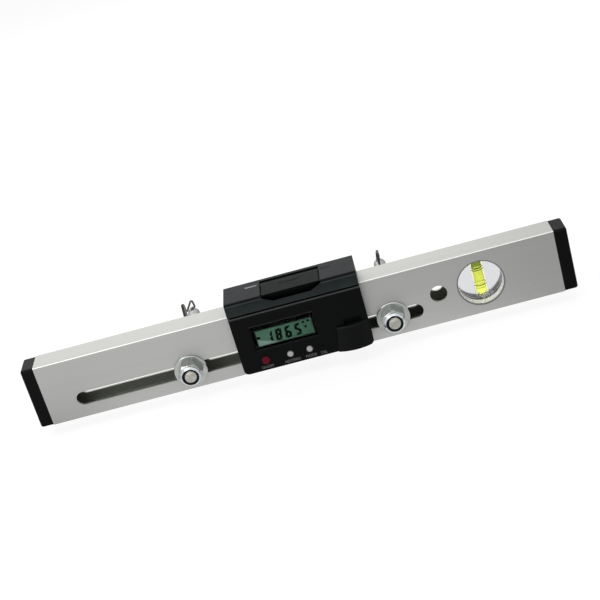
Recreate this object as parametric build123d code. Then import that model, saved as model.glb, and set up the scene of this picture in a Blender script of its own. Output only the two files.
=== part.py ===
# Digital flange level: a slotted box-section bar with two sliding flange pins, a display module and a plumb vial.
# Millimetres. X runs along the bar to the right, Y from the display towards the flange, Z up.
# The origin is the middle of the bar's bottom face.
from build123d import *
import os

# Bar
BAR_LENGTH = 400.0
BAR_HEIGHT = 50.0
BAR_DEPTH = 22.0
BAR_WALL = 2.0
BAR_EDGE_RADIUS = 0.6
BAR_INNER_RADIUS = 0.6
SLOT_HEIGHT = 15.5
SLOT_LEFT_MARGIN = 23.5
SLOT_RIGHT_MARGIN = 105.5
SLOT_CLEARANCE = 1.0
HANG_HOLE_DIAMETER = 13.0
HANG_HOLE_MARGIN = 91.8
WINDOW_DIAMETER = 36.4
WINDOW_MARGIN = 59.5
HOLE_DROP = 0.5

# End caps
CAP_LENGTH = 10.0
CAP_EDGE_RADIUS = 2.0
CAP_CORNER_RADIUS = 1.8
CAP_PLUG_LENGTH = 14.0
CAP_PLUG_WALL = 2.0
CAP_PLUG_FIT = 0.1
CAP_RIB_HEIGHT = 5.0

# Plumb vial
VIAL_FIT = 0.1
VIAL_RECESS = 0.5
VIAL_REAR_RECESS = 4.0
VIAL_RING_WALL = 1.0
VIAL_WEB = 2.4
VIAL_DIAMETER = 9.4
VIAL_LENGTH = 30.0
VIAL_WALL = 0.9
VIAL_END_WALL = 1.0
VIAL_FLOOR = 1.8
VIAL_FLOOR_RADIUS = 2.4
VIAL_END_RADIUS = 2.0
VIAL_SEAT = 0.05
VIAL_MARK_WIDTH = 0.5
VIAL_MARK_THICKNESS = 0.12
VIAL_MARK_GAP = 12.5
VIAL_MARK_RISE = 1.1
BUBBLE_LENGTH = 4.8
BUBBLE_FILM = 0.4

# Flange pins
STUD_DIAMETER = 10.0
STUD_REAR_LENGTH = 82.0
STUD_PROUD = 0.3
STUD_CHAMFER = 0.8
THREAD_FIT = 0.05
LEFT_PIN_REACH = 39.1
RIGHT_PIN_REACH = 18.1
WASHER_DIAMETER = 25.4
WASHER_THICKNESS = 2.0
WASHER_CHAMFER = 0.4
NUT_ACROSS_FLATS = 17.0
NUT_HEIGHT = 10.0
NUT_CHAMFER = 1.2
NUT_COLLAR_HEIGHT = 2.6
NUT_COLLAR_WALL = 1.4
NYLON_DIAMETER = 13.0
CONE_LENGTH = 24.0
CONE_BASE_DIAMETER = 27.0
CONE_TIP_DIAMETER = 12.6
CONE_COLLAR = 3.0
CONE_CHAMFER = 0.6
WING_NUT_CLEARANCE = 0.2
WING_SPAN = 51.0
WING_HEIGHT = 25.0
WING_TIP_RADIUS = 4.6
WING_ROOT_RADIUS = 4.2
WING_THICKNESS = 1.9
WING_HUB_HEIGHT = 12.0
WING_HUB_BASE_DIAMETER = 20.0
WING_HUB_TOP_DIAMETER = 16.5
SPLIT_PIN_DIAMETER = 3.0
SPLIT_PIN_FIT = 0.1
SPLIT_PIN_MARGIN = 4.0
SPLIT_PIN_WIRE = 1.7
SPLIT_PIN_TAIL = 5.0
EYE_LEFT = 4.6
EYE_RIGHT = 2.8
EYE_LEAN = 1.7
EYE_HEIGHT = 9.75
EYE_NECK = 1.3
EYE_SHOULDER = 0.2
EYE_BEND_RADIUS = 0.95

# Display module housings
MODULE_LENGTH = 100.2
MODULE_OFFSET = 2.95
MODULE_WALL = 1.6
MODULE_FIT = 0.2
PANEL_DEPTH = 8.3
PANEL_BOTTOM = 3.2
PANEL_CORNER_RADIUS = 4.0
PANEL_TOP_CHAMFER = 1.5
PANEL_EDGE_RADIUS = 0.8
PANEL_RISE = 0.7
SEAM_GAP = 2.0
TOP_NOSE = 0.6
TOP_CREASE_SETBACK = 0.3
TOP_RISE = 0.4
TOP_EDGE_RADIUS = 1.0
TOP_CREASE_RADIUS = 3.0
LIP_DROP = 6.0
CHASSIS_PLATE = 1.8
CHASSIS_FLOOR = 2.4
CHASSIS_SKIN = 0.8

# Battery bay and lid
CELL_DIAMETER = 10.3
CELL_LENGTH = 44.5
CELL_NUB_DIAMETER = 3.8
CELL_NUB_LENGTH = 1.1
CELL_PITCH = 10.6
CELL_HEADROOM = 0.4
CELL_FIT = 0.3
CELL_SETBACK = 2.6
CONTACT_THICKNESS = 0.5
CONTACT_HEIGHT = 7.0
CONTACT_WIDTH = 8.0
BAY_WALL = 1.4
BAY_WALL_HEIGHT = 7.5
LID_LENGTH = 43.7
LID_OFFSET = 0.7
LID_THICKNESS = 1.2
LID_GAP = 1.0
LID_REAR_GAP = 0.4
LID_SEAT = 0.5
LID_GROOVE_REACH = 6.0
LID_GROOVE_DEPTH = 1.0
LID_SETBACK = 10.0
LID_FRONT_SETBACK = 1.8
LID_MARK_LENGTH = 16.0
LID_MARK_WIDTH = 0.8
LID_MARK_DEPTH = 0.3
LID_MARK_SETBACK = 6.5
HINGE_RADIUS = 0.95
HINGE_PIVOT_RADIUS = 0.8
HINGE_PIVOT_LENGTH = 2.6
HINGE_FIT = 0.08
HINGE_BOSS_WALL = 1.0
SCOOP_LENGTH = 28.6
SCOOP_HEIGHT = 4.0
SCOOP_DEPTH = 4.6
SCOOP_CORNER_RADIUS = 1.6
SCOOP_WALL = 1.2

# Display, board and buttons
LCD_OFFSET = -12.7
LCD_RISE = 27.2
LCD_WINDOW_LENGTH = 47.2
LCD_WINDOW_HEIGHT = 18.8
LCD_BEVEL = 0.9
LCD_BORDER = 1.2
LENS_THICKNESS = 0.8
LENS_GAP = 0.2
LCD_THICKNESS = 1.8
BOARD_THICKNESS = 1.2
BOARD_LEFT_MARGIN = 2.9
BOARD_BOTTOM_MARGIN = 1.2
BOARD_TOP_MARGIN = 3.1
BUTTON_RISE = 8.55
POWER_OFFSET = -31.65
ZERO_OFFSET = -12.75
MODE_OFFSET = 2.15
PINHOLE_OFFSET = 12.05
POWER_DIAMETER = 6.6
KEY_DIAMETER = 4.9
BUTTON_PROUD = 0.8
BUTTON_CROWN = 0.3
BUTTON_FIT = 0.45
BUTTON_FLANGE = 1.0
BUTTON_FLANGE_THICKNESS = 0.6
BUTTON_SEAT = 0.1
PINHOLE_DIAMETER = 1.6
SWITCH_SIZE = 4.6
SWITCH_HEIGHT = 1.3
SWITCH_PLUNGER_DIAMETER = 2.4
SWITCH_PLUNGER_HEIGHT = 0.15
SENSOR_SIZE = 4.2
SENSOR_HEIGHT = 1.2
SENSOR_MARGIN = 0.6

# Release latch
LATCH_WIDTH = 27.6
LATCH_HEIGHT = 20.4
LATCH_TAPER = 3.4
LATCH_EDGE_RISE = 0.4
LATCH_BULGE = 3.6
LATCH_CORNER_RADIUS = 3.0
LATCH_EDGE_RADIUS = 2.0
LATCH_TRAVEL = 3.0
LATCH_CLEARANCE = 0.2
LATCH_SIDE_GAP = 0.06
NOTCH_DEPTH = 4.2
RIB_COUNT = 6
RIB_PITCH = 2.1
RIB_WIDTH = 0.9
RIB_DEPTH = 0.5
RIB_START = 3.0
STEM_WIDTH = 10.0
STEM_HEIGHT = 6.0
STEM_DROP = 0.45
HOOK_RISE = 2.3
HOOK_THICKNESS = 2.0
THUMB_OFFSET = 11.7
THUMB_LENGTH = 13.2
THUMB_HEIGHT = 4.4
THUMB_DEPTH = 2.6
THUMB_CORNER_RADIUS = 1.2
THUMB_RIB_COUNT = 3
THUMB_RIB_PITCH = 1.7
THUMB_RIB_WIDTH = 0.7
THUMB_RIB_HEIGHT = 0.9
THUMB_RIB_MARGIN = 1.3
SPRING_OFFSET = 7.6
SPRING_DIAMETER = 3.2
SPRING_WIRE = 0.5
SPRING_TURNS = 4
SPRING_LENGTH = 9.0
SHELF_RISE = 3.0
SHELF_THICKNESS = 1.2

# Case screws
SCREW_DIAMETER = 2.2
SCREW_HEAD_DIAMETER = 4.2
SCREW_HEAD_DEPTH = 1.0
SCREW_GRIP = 4.0
SCREW_FIT = 0.05
BOSS_RADIUS = 2.4
BOSS_FIT = 0.4
BOSS_SIDE_MARGIN = 6.0
BOSS_TOP_MARGIN = 7.0
BOSS_BOTTOM_MARGIN = 6.0
BOSS_LATCH_MARGIN = 5.5
TOP_BOSS_MARGIN = 8.0

# Places that follow from the sizes above
BAR_LEFT = -BAR_LENGTH / 2
BAR_RIGHT = BAR_LENGTH / 2
BAR_FRONT = -BAR_DEPTH / 2
BAR_REAR = BAR_DEPTH / 2
BAR_MIDDLE = BAR_HEIGHT / 2
HOLE_HEIGHT = BAR_MIDDLE - HOLE_DROP
SLOT_LEFT = BAR_LEFT + SLOT_LEFT_MARGIN
SLOT_RIGHT = BAR_RIGHT - SLOT_RIGHT_MARGIN
SLOT_WIDTH = STUD_DIAMETER + SLOT_CLEARANCE
HANG_HOLE_X = BAR_RIGHT - HANG_HOLE_MARGIN
WINDOW_X = BAR_RIGHT - WINDOW_MARGIN
MODULE_LEFT = MODULE_OFFSET - MODULE_LENGTH / 2
MODULE_RIGHT = MODULE_OFFSET + MODULE_LENGTH / 2
PANEL_FRONT = BAR_FRONT - PANEL_DEPTH
PANEL_INSIDE = PANEL_FRONT + MODULE_WALL
PANEL_TOP = BAR_HEIGHT + PANEL_RISE
PLATE_FRONT = BAR_FRONT - CHASSIS_PLATE
TOP_REAR = BAR_REAR + MODULE_WALL
CREASE_Y = PANEL_FRONT + TOP_CREASE_SETBACK
CREASE_Z = BAR_HEIGHT + CHASSIS_SKIN + CELL_DIAMETER + CELL_HEADROOM + LID_THICKNESS
REAR_Z = CREASE_Z + TOP_RISE
LID_REAR = TOP_REAR - LID_SETBACK
BAY_X = MODULE_OFFSET + LID_OFFSET
LID_LEFT = BAY_X - LID_LENGTH / 2
LID_RIGHT = BAY_X + LID_LENGTH / 2
LENS_REAR = PANEL_INSIDE + LENS_THICKNESS
LCD_FRONT = LENS_REAR + LENS_GAP
LCD_REAR = LCD_FRONT + LCD_THICKNESS
LCD_X = MODULE_OFFSET + LCD_OFFSET
LCD_Z = PANEL_BOTTOM + LCD_RISE
LCD_RIGHT = LCD_X + LCD_WINDOW_LENGTH / 2 + LCD_BORDER
LCD_LEFT = LCD_X - LCD_WINDOW_LENGTH / 2 - LCD_BORDER
BUTTON_ROW = PANEL_BOTTOM + BUTTON_RISE
BOARD_RIGHT = LCD_RIGHT + SENSOR_SIZE + 2 * SENSOR_MARGIN
LATCH_LEFT = MODULE_RIGHT - LATCH_WIDTH
LATCH_TOP = PANEL_BOTTOM + LATCH_HEIGHT
LATCH_MIDDLE = MODULE_RIGHT - LATCH_WIDTH / 2
NOTCH_FLOOR = PANEL_FRONT + NOTCH_DEPTH
STEM_TOP = SLOT_HEIGHT + SLOT_WIDTH / 2 - STEM_DROP
STEM_BOTTOM = STEM_TOP - STEM_HEIGHT
SPRING_X = LATCH_MIDDLE - SPRING_OFFSET
SPRING_Y = NOTCH_FLOOR - LATCH_CLEARANCE - SPRING_DIAMETER / 2
SPRING_BOTTOM = PANEL_BOTTOM + SHELF_RISE + SHELF_THICKNESS
SPRING_TOP = SPRING_BOTTOM + SPRING_LENGTH
POCKET_HALF_WIDTH = SPRING_DIAMETER / 2 + 2 * LATCH_CLEARANCE
POCKET_FRONT = SPRING_Y - SPRING_DIAMETER / 2 - LATCH_CLEARANCE
CELL_MIDDLE_Z = BAR_HEIGHT + CHASSIS_SKIN + CELL_DIAMETER / 2
REAR_CELL_Y = BAR_REAR - CELL_SETBACK - CELL_DIAMETER / 2
FRONT_CELL_Y = REAR_CELL_Y - CELL_PITCH
WING_NUT_BASE = BAR_REAR + CONE_LENGTH + WING_NUT_CLEARANCE
PIN_PLACES = {"left": MODULE_LEFT - LEFT_PIN_REACH, "right": MODULE_RIGHT + RIGHT_PIN_REACH}
SPLIT_PIN_TURNS = {"left": 0.0, "right": 70.0}
WING_TURNS = {"left": -3.0, "right": 0.0}
EYE_DROPS = {"left": 2.0, "right": 0.6}
NUT_TURNS = {"left": 0.0, "right": 25.0}
FAR = BAR_LENGTH


def block(x0, x1, y0, y1, z0, z1):
    """Box between two corners."""
    return Pos((x0 + x1) / 2, (y0 + y1) / 2, (z0 + z1) / 2) * Box(x1 - x0, y1 - y0, z1 - z0)


def rod_x(radius, x0, x1, y, z):
    """Cylinder along X."""
    return Pos((x0 + x1) / 2, y, z) * Rot(0, 90, 0) * Cylinder(radius, x1 - x0)


def rod_y(radius, x, z, y0, y1):
    """Cylinder along Y."""
    return Pos(x, (y0 + y1) / 2, z) * Rot(90, 0, 0) * Cylinder(radius, y1 - y0)


def rod_z(radius, x, y, z0, z1):
    """Cylinder along Z."""
    return Pos(x, y, (z0 + z1) / 2) * Cylinder(radius, z1 - z0)


def front_prism(outline, y0, y1):
    """Carry an outline drawn in X and Z from one depth to another."""
    return extrude(Plane.XZ.offset(-y1) * outline, y1 - y0)


def long_prism(outline, x0, x1):
    """Carry an outline drawn in Y and Z along the bar."""
    return extrude(Plane.YZ.offset(x0) * outline, x1 - x0)


def turned(points, x, z):
    """Turn an outline of (radius, depth) points about a line along Y."""
    return Pos(x, 0, z) * revolve(Polygon(*points, align=None), Axis.Y)


def top_surface(y):
    """Height of the module's sloping top at a depth."""
    return CREASE_Z + TOP_RISE * (y - CREASE_Y) / (TOP_REAR - CREASE_Y)


def bar_outline(inset, radius):
    """Rounded section of the bar, moved in from its outside."""
    section = RectangleRounded(BAR_DEPTH - 2 * inset, BAR_HEIGHT - 2 * inset, radius)
    return Pos(0, BAR_MIDDLE) * section


def make_bar():
    """Extruded box section with the pin slot, hanging hole and vial window through both walls."""
    section = bar_outline(0, BAR_EDGE_RADIUS) - bar_outline(BAR_WALL, BAR_INNER_RADIUS)
    bar = long_prism(section, BAR_LEFT, BAR_RIGHT)
    slot = Pos((SLOT_LEFT + SLOT_RIGHT) / 2, SLOT_HEIGHT) * SlotOverall(SLOT_RIGHT - SLOT_LEFT, SLOT_WIDTH)
    bar -= front_prism(slot, -BAR_DEPTH, BAR_DEPTH)
    bar -= rod_y(HANG_HOLE_DIAMETER / 2, HANG_HOLE_X, HOLE_HEIGHT, -BAR_DEPTH, BAR_DEPTH)
    bar -= rod_y(WINDOW_DIAMETER / 2, WINDOW_X, HOLE_HEIGHT, -BAR_DEPTH, BAR_DEPTH)
    return bar


def make_end_cap(end, outward):
    """Rounded cap on one end of the bar, with a hollow ribbed plug inside the section."""
    cap = long_prism(bar_outline(0, CAP_EDGE_RADIUS), 0, CAP_LENGTH)
    cap = fillet(cap.faces().sort_by(Axis.X)[-1].edges(), CAP_CORNER_RADIUS)
    inset = BAR_WALL + CAP_PLUG_FIT
    plug = bar_outline(inset, BAR_INNER_RADIUS) - bar_outline(inset + CAP_PLUG_WALL, BAR_INNER_RADIUS)
    cap += long_prism(plug, -CAP_PLUG_LENGTH, 0)
    rib = block(-CAP_PLUG_LENGTH, 0, BAR_FRONT + inset, BAR_REAR - inset, 0, CAP_RIB_HEIGHT)
    cap += Pos(0, 0, BAR_MIDDLE - CAP_RIB_HEIGHT / 2) * rib
    if outward < 0:
        cap = mirror(cap, Plane.YZ)
    return Pos(end, 0, 0) * cap


def vial_ring_radius():
    """Outer radius of the vial carrier in its window."""
    return WINDOW_DIAMETER / 2 - VIAL_FIT


def make_vial_carrier():
    """Clear ring in the bar's window, short of its rear wall, with a web that grips the vial."""
    outer = vial_ring_radius()
    inner = outer - VIAL_RING_WALL
    front = BAR_FRONT + VIAL_RECESS
    rear = BAR_REAR - VIAL_REAR_RECESS
    carrier = rod_y(outer, WINDOW_X, HOLE_HEIGHT, front, rear) - rod_y(inner, WINDOW_X, HOLE_HEIGHT, front, rear)
    carrier += rod_y(inner, WINDOW_X, HOLE_HEIGHT, -VIAL_WEB / 2, VIAL_WEB / 2)
    half = VIAL_LENGTH / 2 + VIAL_SEAT
    carrier -= rod_z(VIAL_DIAMETER / 2 + VIAL_SEAT, WINDOW_X, 0, HOLE_HEIGHT - half, HOLE_HEIGHT + half)
    relief = VIAL_DIAMETER / 2 + VIAL_MARK_THICKNESS + 2 * VIAL_SEAT
    band = VIAL_MARK_WIDTH / 2 + VIAL_SEAT
    for z in vial_mark_heights():
        carrier -= rod_z(relief, WINDOW_X, 0, z - band, z + band)
    return carrier


def vial_mark_heights():
    """Heights of the two bands round the vial."""
    middle = HOLE_HEIGHT + VIAL_MARK_RISE
    return [middle - VIAL_MARK_GAP / 2, middle + VIAL_MARK_GAP / 2]


def make_vial_tube():
    """Clear closed tube with rounded ends that stands upright in the carrier."""
    half = VIAL_LENGTH / 2
    tube = rod_z(VIAL_DIAMETER / 2, WINDOW_X, 0, HOLE_HEIGHT - half, HOLE_HEIGHT + half)
    tube = fillet(tube.edges().filter_by(GeomType.CIRCLE), VIAL_END_RADIUS)
    return tube - vial_room(0)


def vial_room(inset):
    """Hollow of the vial with its rounded floor, moved in from the glass."""
    bottom = HOLE_HEIGHT - VIAL_LENGTH / 2 + VIAL_FLOOR + inset
    top = HOLE_HEIGHT + VIAL_LENGTH / 2 - VIAL_END_WALL - inset
    room = rod_z(VIAL_DIAMETER / 2 - VIAL_WALL - inset, WINDOW_X, 0, bottom, top)
    return fillet(room.edges().sort_by(Axis.Z)[0], VIAL_FLOOR_RADIUS - inset)


def make_vial_liquid():
    """Coloured liquid, with the round hollow of its bubble at the top."""
    radius = VIAL_DIAMETER / 2 - VIAL_WALL - VIAL_SEAT - BUBBLE_FILM
    top = HOLE_HEIGHT + VIAL_LENGTH / 2 - VIAL_END_WALL
    round_middle = top - BUBBLE_LENGTH + radius
    bubble = Pos(WINDOW_X, 0, round_middle) * Sphere(radius)
    neck = rod_z(radius, WINDOW_X, 0, round_middle, top)
    return vial_room(VIAL_SEAT) - bubble - neck


def make_vial_marks():
    """Two thin black bands round the tube that frame the bubble when the bar stands upright."""
    inner = VIAL_DIAMETER / 2 + VIAL_SEAT / 2
    outer = inner + VIAL_MARK_THICKNESS
    marks = []
    for z in vial_mark_heights():
        bottom = z - VIAL_MARK_WIDTH / 2
        top = z + VIAL_MARK_WIDTH / 2
        marks.append(rod_z(outer, WINDOW_X, 0, bottom, top) - rod_z(inner, WINDOW_X, 0, bottom, top))
    return Compound(children=marks)


def make_stud(x):
    """Threaded rod through the slot, cross-drilled near its far end."""
    radius = STUD_DIAMETER / 2
    front = BAR_FRONT - WASHER_THICKNESS - NUT_HEIGHT - STUD_PROUD
    rear = BAR_REAR + STUD_REAR_LENGTH
    outline = [
        (0, front),
        (radius - STUD_CHAMFER, front),
        (radius, front + STUD_CHAMFER),
        (radius, rear - STUD_CHAMFER),
        (radius - STUD_CHAMFER, rear),
        (0, rear),
    ]
    stud = turned(outline, x, SLOT_HEIGHT)
    hole = rod_z(SPLIT_PIN_DIAMETER / 2 + SPLIT_PIN_FIT, x, rear - SPLIT_PIN_MARGIN, -FAR, FAR)
    return stud - hole


def make_washer(x):
    """Large flat washer that bridges the slot in front."""
    hole = STUD_DIAMETER / 2 + SLOT_CLEARANCE / 2
    rim = WASHER_DIAMETER / 2
    front = BAR_FRONT - WASHER_THICKNESS
    outline = [
        (hole, BAR_FRONT),
        (rim, BAR_FRONT),
        (rim, front + WASHER_CHAMFER),
        (rim - WASHER_CHAMFER, front),
        (hole, front),
    ]
    return turned(outline, x, SLOT_HEIGHT)


def nut_front():
    """Depth of the lock nut's outer end."""
    return BAR_FRONT - WASHER_THICKNESS - NUT_HEIGHT


def make_lock_nut(x, turn):
    """Hexagon nut with a round collar in front that holds a nylon ring."""
    seat = BAR_FRONT - WASHER_THICKNESS
    hex_front = nut_front() + NUT_COLLAR_HEIGHT
    flat = NUT_ACROSS_FLATS / 2
    hexagon = RegularPolygon(flat, 6, major_radius=False)
    nut = front_prism(Pos(x, SLOT_HEIGHT) * Rot(0, 0, turn) * hexagon, hex_front, seat)
    envelope = [
        (0, seat),
        (flat + NUT_CHAMFER / 2, seat),
        (flat + NUT_CHAMFER, seat - NUT_CHAMFER / 2),
        (flat + NUT_CHAMFER, hex_front + NUT_CHAMFER),
        (flat - NUT_CHAMFER / 2, hex_front),
        (0, hex_front),
    ]
    nut &= turned(envelope, x, SLOT_HEIGHT)
    collar_radius = NYLON_DIAMETER / 2 + NUT_COLLAR_WALL
    collar = [
        (0, hex_front),
        (collar_radius, hex_front),
        (collar_radius, nut_front() + NUT_COLLAR_WALL),
        (collar_radius - NUT_COLLAR_WALL, nut_front()),
        (0, nut_front()),
    ]
    nut += turned(collar, x, SLOT_HEIGHT)
    nut -= rod_y(NYLON_DIAMETER / 2, x, SLOT_HEIGHT, nut_front() - NUT_HEIGHT, hex_front)
    return nut - rod_y(STUD_DIAMETER / 2 + THREAD_FIT, x, SLOT_HEIGHT, -FAR, FAR)


def make_nylon_ring(x):
    """Nylon locking ring in the nut's collar."""
    rear = nut_front() + NUT_COLLAR_HEIGHT
    ring = rod_y(NYLON_DIAMETER / 2 - THREAD_FIT, x, SLOT_HEIGHT, nut_front() + STUD_PROUD, rear)
    return ring - rod_y(STUD_DIAMETER / 2 + THREAD_FIT, x, SLOT_HEIGHT, -FAR, FAR)


def make_cone(x):
    """Centring cone for the flange's bolt hole, its broad end on the back of the bar."""
    bore = STUD_DIAMETER / 2 + THREAD_FIT
    base = CONE_BASE_DIAMETER / 2
    tip = CONE_TIP_DIAMETER / 2
    rear = BAR_REAR + CONE_LENGTH
    outline = [
        (bore, BAR_REAR),
        (base - CONE_CHAMFER, BAR_REAR),
        (base, BAR_REAR + CONE_CHAMFER),
        (base, BAR_REAR + CONE_COLLAR),
        (tip, rear - CONE_CHAMFER),
        (tip - CONE_CHAMFER, rear),
        (bore, rear),
    ]
    return turned(outline, x, SLOT_HEIGHT)


def make_wing_nut(x, turn):
    """Cast wing nut: a tapered hub with two rounded wings that lean away from the bar."""
    base = WING_NUT_BASE
    hub_top = base + WING_HUB_HEIGHT
    hub = [
        (0, base),
        (WING_HUB_BASE_DIAMETER / 2, base),
        (WING_HUB_TOP_DIAMETER / 2, hub_top),
        (0, hub_top),
    ]
    nut = turned(hub, 0, 0)
    tip_y = base + WING_HEIGHT - WING_TIP_RADIUS
    tip_z = WING_SPAN / 2 - WING_TIP_RADIUS
    root_y = base + WING_HUB_HEIGHT / 2
    root_z = WING_HUB_TOP_DIAMETER / 2 - WING_ROOT_RADIUS
    for side in (-1, 1):
        tip = Pos(tip_y, side * tip_z) * Circle(WING_TIP_RADIUS)
        root = Pos(root_y, side * root_z) * Circle(WING_ROOT_RADIUS)
        lobe = make_hull((tip + root).edges())
        nut += long_prism(lobe, -WING_THICKNESS / 2, WING_THICKNESS / 2)
    nut -= rod_y(STUD_DIAMETER / 2 + HINGE_FIT, 0, 0, -FAR, FAR)
    return Pos(x, 0, SLOT_HEIGHT) * Rot(0, turn, 0) * nut


def make_split_pin(x, turn, drop):
    """Split pin across the stud's far end, bent to an eye whose free leg comes down beside the stud."""
    y = BAR_REAR + STUD_REAR_LENGTH - SPLIT_PIN_MARGIN
    surface = STUD_DIAMETER / 2
    neck = surface + EYE_NECK
    top = surface + EYE_HEIGHT
    corners = [
        (0, 0, neck),
        (EYE_RIGHT, 0, neck + EYE_SHOULDER),
        (EYE_LEAN, 0, top - SPLIT_PIN_WIRE / 2),
        (-EYE_LEFT, 0, neck - drop),
    ]
    path = FilletPolyline(*corners, radius=EYE_BEND_RADIUS)
    eye = sweep(Plane(origin=path @ 0, z_dir=path % 0) * Circle(SPLIT_PIN_WIRE / 2), path)
    shank = rod_z(SPLIT_PIN_DIAMETER / 2, 0, 0, -surface - SPLIT_PIN_TAIL, neck)
    pin = eye + shank
    return Pos(x, y, SLOT_HEIGHT) * Rot(0, 0, turn) * pin


def panel_outline(inset):
    """Front housing's outline in X and Z, round at its two lower corners."""
    width = MODULE_LENGTH - 2 * inset
    bottom = PANEL_BOTTOM + inset
    top = PANEL_TOP - inset
    radius = PANEL_CORNER_RADIUS - inset
    outline = Pos(MODULE_OFFSET, (bottom + top) / 2) * Rectangle(width, top - bottom)
    return fillet(outline.vertices().group_by(Axis.Y)[0], radius)


def notch_outline(grow):
    """Corner of the front housing that the release latch fills, with its slanted left side."""
    left = LATCH_LEFT - LATCH_SIDE_GAP - grow
    right = MODULE_RIGHT + MODULE_LENGTH
    bottom = PANEL_BOTTOM - LATCH_HEIGHT
    top = LATCH_TOP + LATCH_CLEARANCE + grow
    lean = LATCH_TAPER / LATCH_HEIGHT
    corner_low = (left - lean * (PANEL_BOTTOM - bottom), bottom)
    corner_high = (left + lean * (top - PANEL_BOTTOM), top)
    return Polygon(corner_low, (right, bottom), (right, top), corner_high, align=None)


def thumb_outline(grow):
    """Thumb recess above the latch."""
    bottom = LATCH_TOP + LATCH_CLEARANCE - THUMB_CORNER_RADIUS
    top = LATCH_TOP + LATCH_CLEARANCE + THUMB_HEIGHT
    place = Pos(MODULE_RIGHT - THUMB_OFFSET, (bottom + top) / 2)
    return place * RectangleRounded(THUMB_LENGTH + 2 * grow, top - bottom + 2 * grow, THUMB_CORNER_RADIUS + grow)


def panel_boss_places():
    """Places in X and Z of the front housing's screw bosses."""
    upper = PANEL_TOP - BOSS_TOP_MARGIN
    lower = PANEL_BOTTOM + BOSS_BOTTOM_MARGIN
    return [
        (MODULE_LEFT + BOSS_SIDE_MARGIN, lower),
        (MODULE_LEFT + BOSS_SIDE_MARGIN, upper),
        (MODULE_RIGHT - BOSS_SIDE_MARGIN, upper),
        (LATCH_LEFT - BOSS_LATCH_MARGIN, lower),
    ]


def button_table():
    """Each button's node, place along the bar and diameter."""
    return [
        ("power_button", MODULE_OFFSET + POWER_OFFSET, POWER_DIAMETER),
        ("zero_button", MODULE_OFFSET + ZERO_OFFSET, KEY_DIAMETER),
        ("mode_button", MODULE_OFFSET + MODE_OFFSET, KEY_DIAMETER),
    ]


def stem_hole(y0, y1):
    """Room for the latch's stem over its whole travel."""
    left = LATCH_MIDDLE - STEM_WIDTH / 2 - LATCH_CLEARANCE
    right = LATCH_MIDDLE + STEM_WIDTH / 2 + LATCH_CLEARANCE
    bottom = STEM_BOTTOM - LATCH_TRAVEL - LATCH_CLEARANCE
    return block(left, right, y0, y1, bottom, STEM_TOP + LATCH_CLEARANCE)


def lcd_outline(grow):
    """Display window, grown or shrunk evenly."""
    return Pos(LCD_X, LCD_Z) * Rectangle(LCD_WINDOW_LENGTH + 2 * grow, LCD_WINDOW_HEIGHT + 2 * grow)


def make_front_housing():
    """Moulded front shell with the display window, button holes and the latch's corner notch."""
    shell = front_prism(panel_outline(0), PANEL_FRONT, BAR_FRONT)
    front_face = shell.faces().sort_by(Axis.Y)[0]
    top_edge = front_face.edges().sort_by(Axis.Z)[-1]
    shell = chamfer(top_edge, PANEL_TOP_CHAMFER)
    front_face = shell.faces().sort_by(Axis.Y)[0]
    shell = fillet(front_face.edges().sort_by(Axis.Z)[:-1], PANEL_EDGE_RADIUS)
    room = front_prism(panel_outline(MODULE_WALL), PANEL_INSIDE, BAR_FRONT)
    room -= front_prism(notch_outline(MODULE_WALL), PANEL_FRONT, NOTCH_FLOOR + MODULE_WALL)
    thumb_floor = PANEL_FRONT + THUMB_DEPTH
    room -= front_prism(thumb_outline(MODULE_WALL), PANEL_FRONT, thumb_floor + MODULE_WALL)
    for x, z in panel_boss_places():
        room -= rod_y(BOSS_RADIUS, x, z, PANEL_FRONT, PLATE_FRONT)
    shell -= room
    shell -= front_prism(notch_outline(0), PANEL_FRONT - PANEL_DEPTH, NOTCH_FLOOR)
    shell -= front_prism(thumb_outline(0), PANEL_FRONT - PANEL_DEPTH, thumb_floor)
    rib_right = MODULE_RIGHT - THUMB_OFFSET + THUMB_LENGTH / 2 - THUMB_RIB_MARGIN
    rib_bottom = LATCH_TOP + LATCH_CLEARANCE
    for rib in range(THUMB_RIB_COUNT):
        x = rib_right - rib * THUMB_RIB_PITCH
        shell += block(x - THUMB_RIB_WIDTH, x, thumb_floor - THUMB_RIB_HEIGHT, thumb_floor,
                       rib_bottom, rib_bottom + THUMB_HEIGHT)
    shell -= stem_hole(PANEL_FRONT, BAR_FRONT)
    half = POCKET_HALF_WIDTH - LATCH_CLEARANCE
    shell += block(SPRING_X - half, SPRING_X + half, POCKET_FRONT + LATCH_CLEARANCE, NOTCH_FLOOR,
                   SPRING_BOTTOM - SHELF_THICKNESS, SPRING_BOTTOM)
    shell -= front_prism(lcd_outline(0), PANEL_FRONT - PANEL_DEPTH, PANEL_INSIDE)
    slant = loft([Plane.XZ.offset(-PANEL_FRONT) * lcd_outline(LCD_BEVEL),
                  Plane.XZ.offset(-PANEL_FRONT - LCD_BEVEL) * lcd_outline(0)])
    shell -= slant
    for _, x, diameter in button_table():
        shell -= rod_y(diameter / 2 + BUTTON_FIT, x, BUTTON_ROW, PANEL_FRONT - PANEL_DEPTH, PANEL_INSIDE)
    pinhole_x = MODULE_OFFSET + PINHOLE_OFFSET
    shell -= rod_y(PINHOLE_DIAMETER / 2, pinhole_x, BUTTON_ROW, PANEL_FRONT - PANEL_DEPTH, PANEL_INSIDE)
    for x, z in panel_boss_places():
        shell -= rod_y(SCREW_DIAMETER / 2 + SCREW_FIT, x, z, PLATE_FRONT - SCREW_GRIP, PLATE_FRONT)
    inner_left = MODULE_LEFT + MODULE_WALL
    inner_right = MODULE_RIGHT - MODULE_WALL
    shell -= block(inner_left, inner_right, PLATE_FRONT - MODULE_FIT, BAR_FRONT, BAR_MIDDLE, FAR)
    return shell


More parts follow.
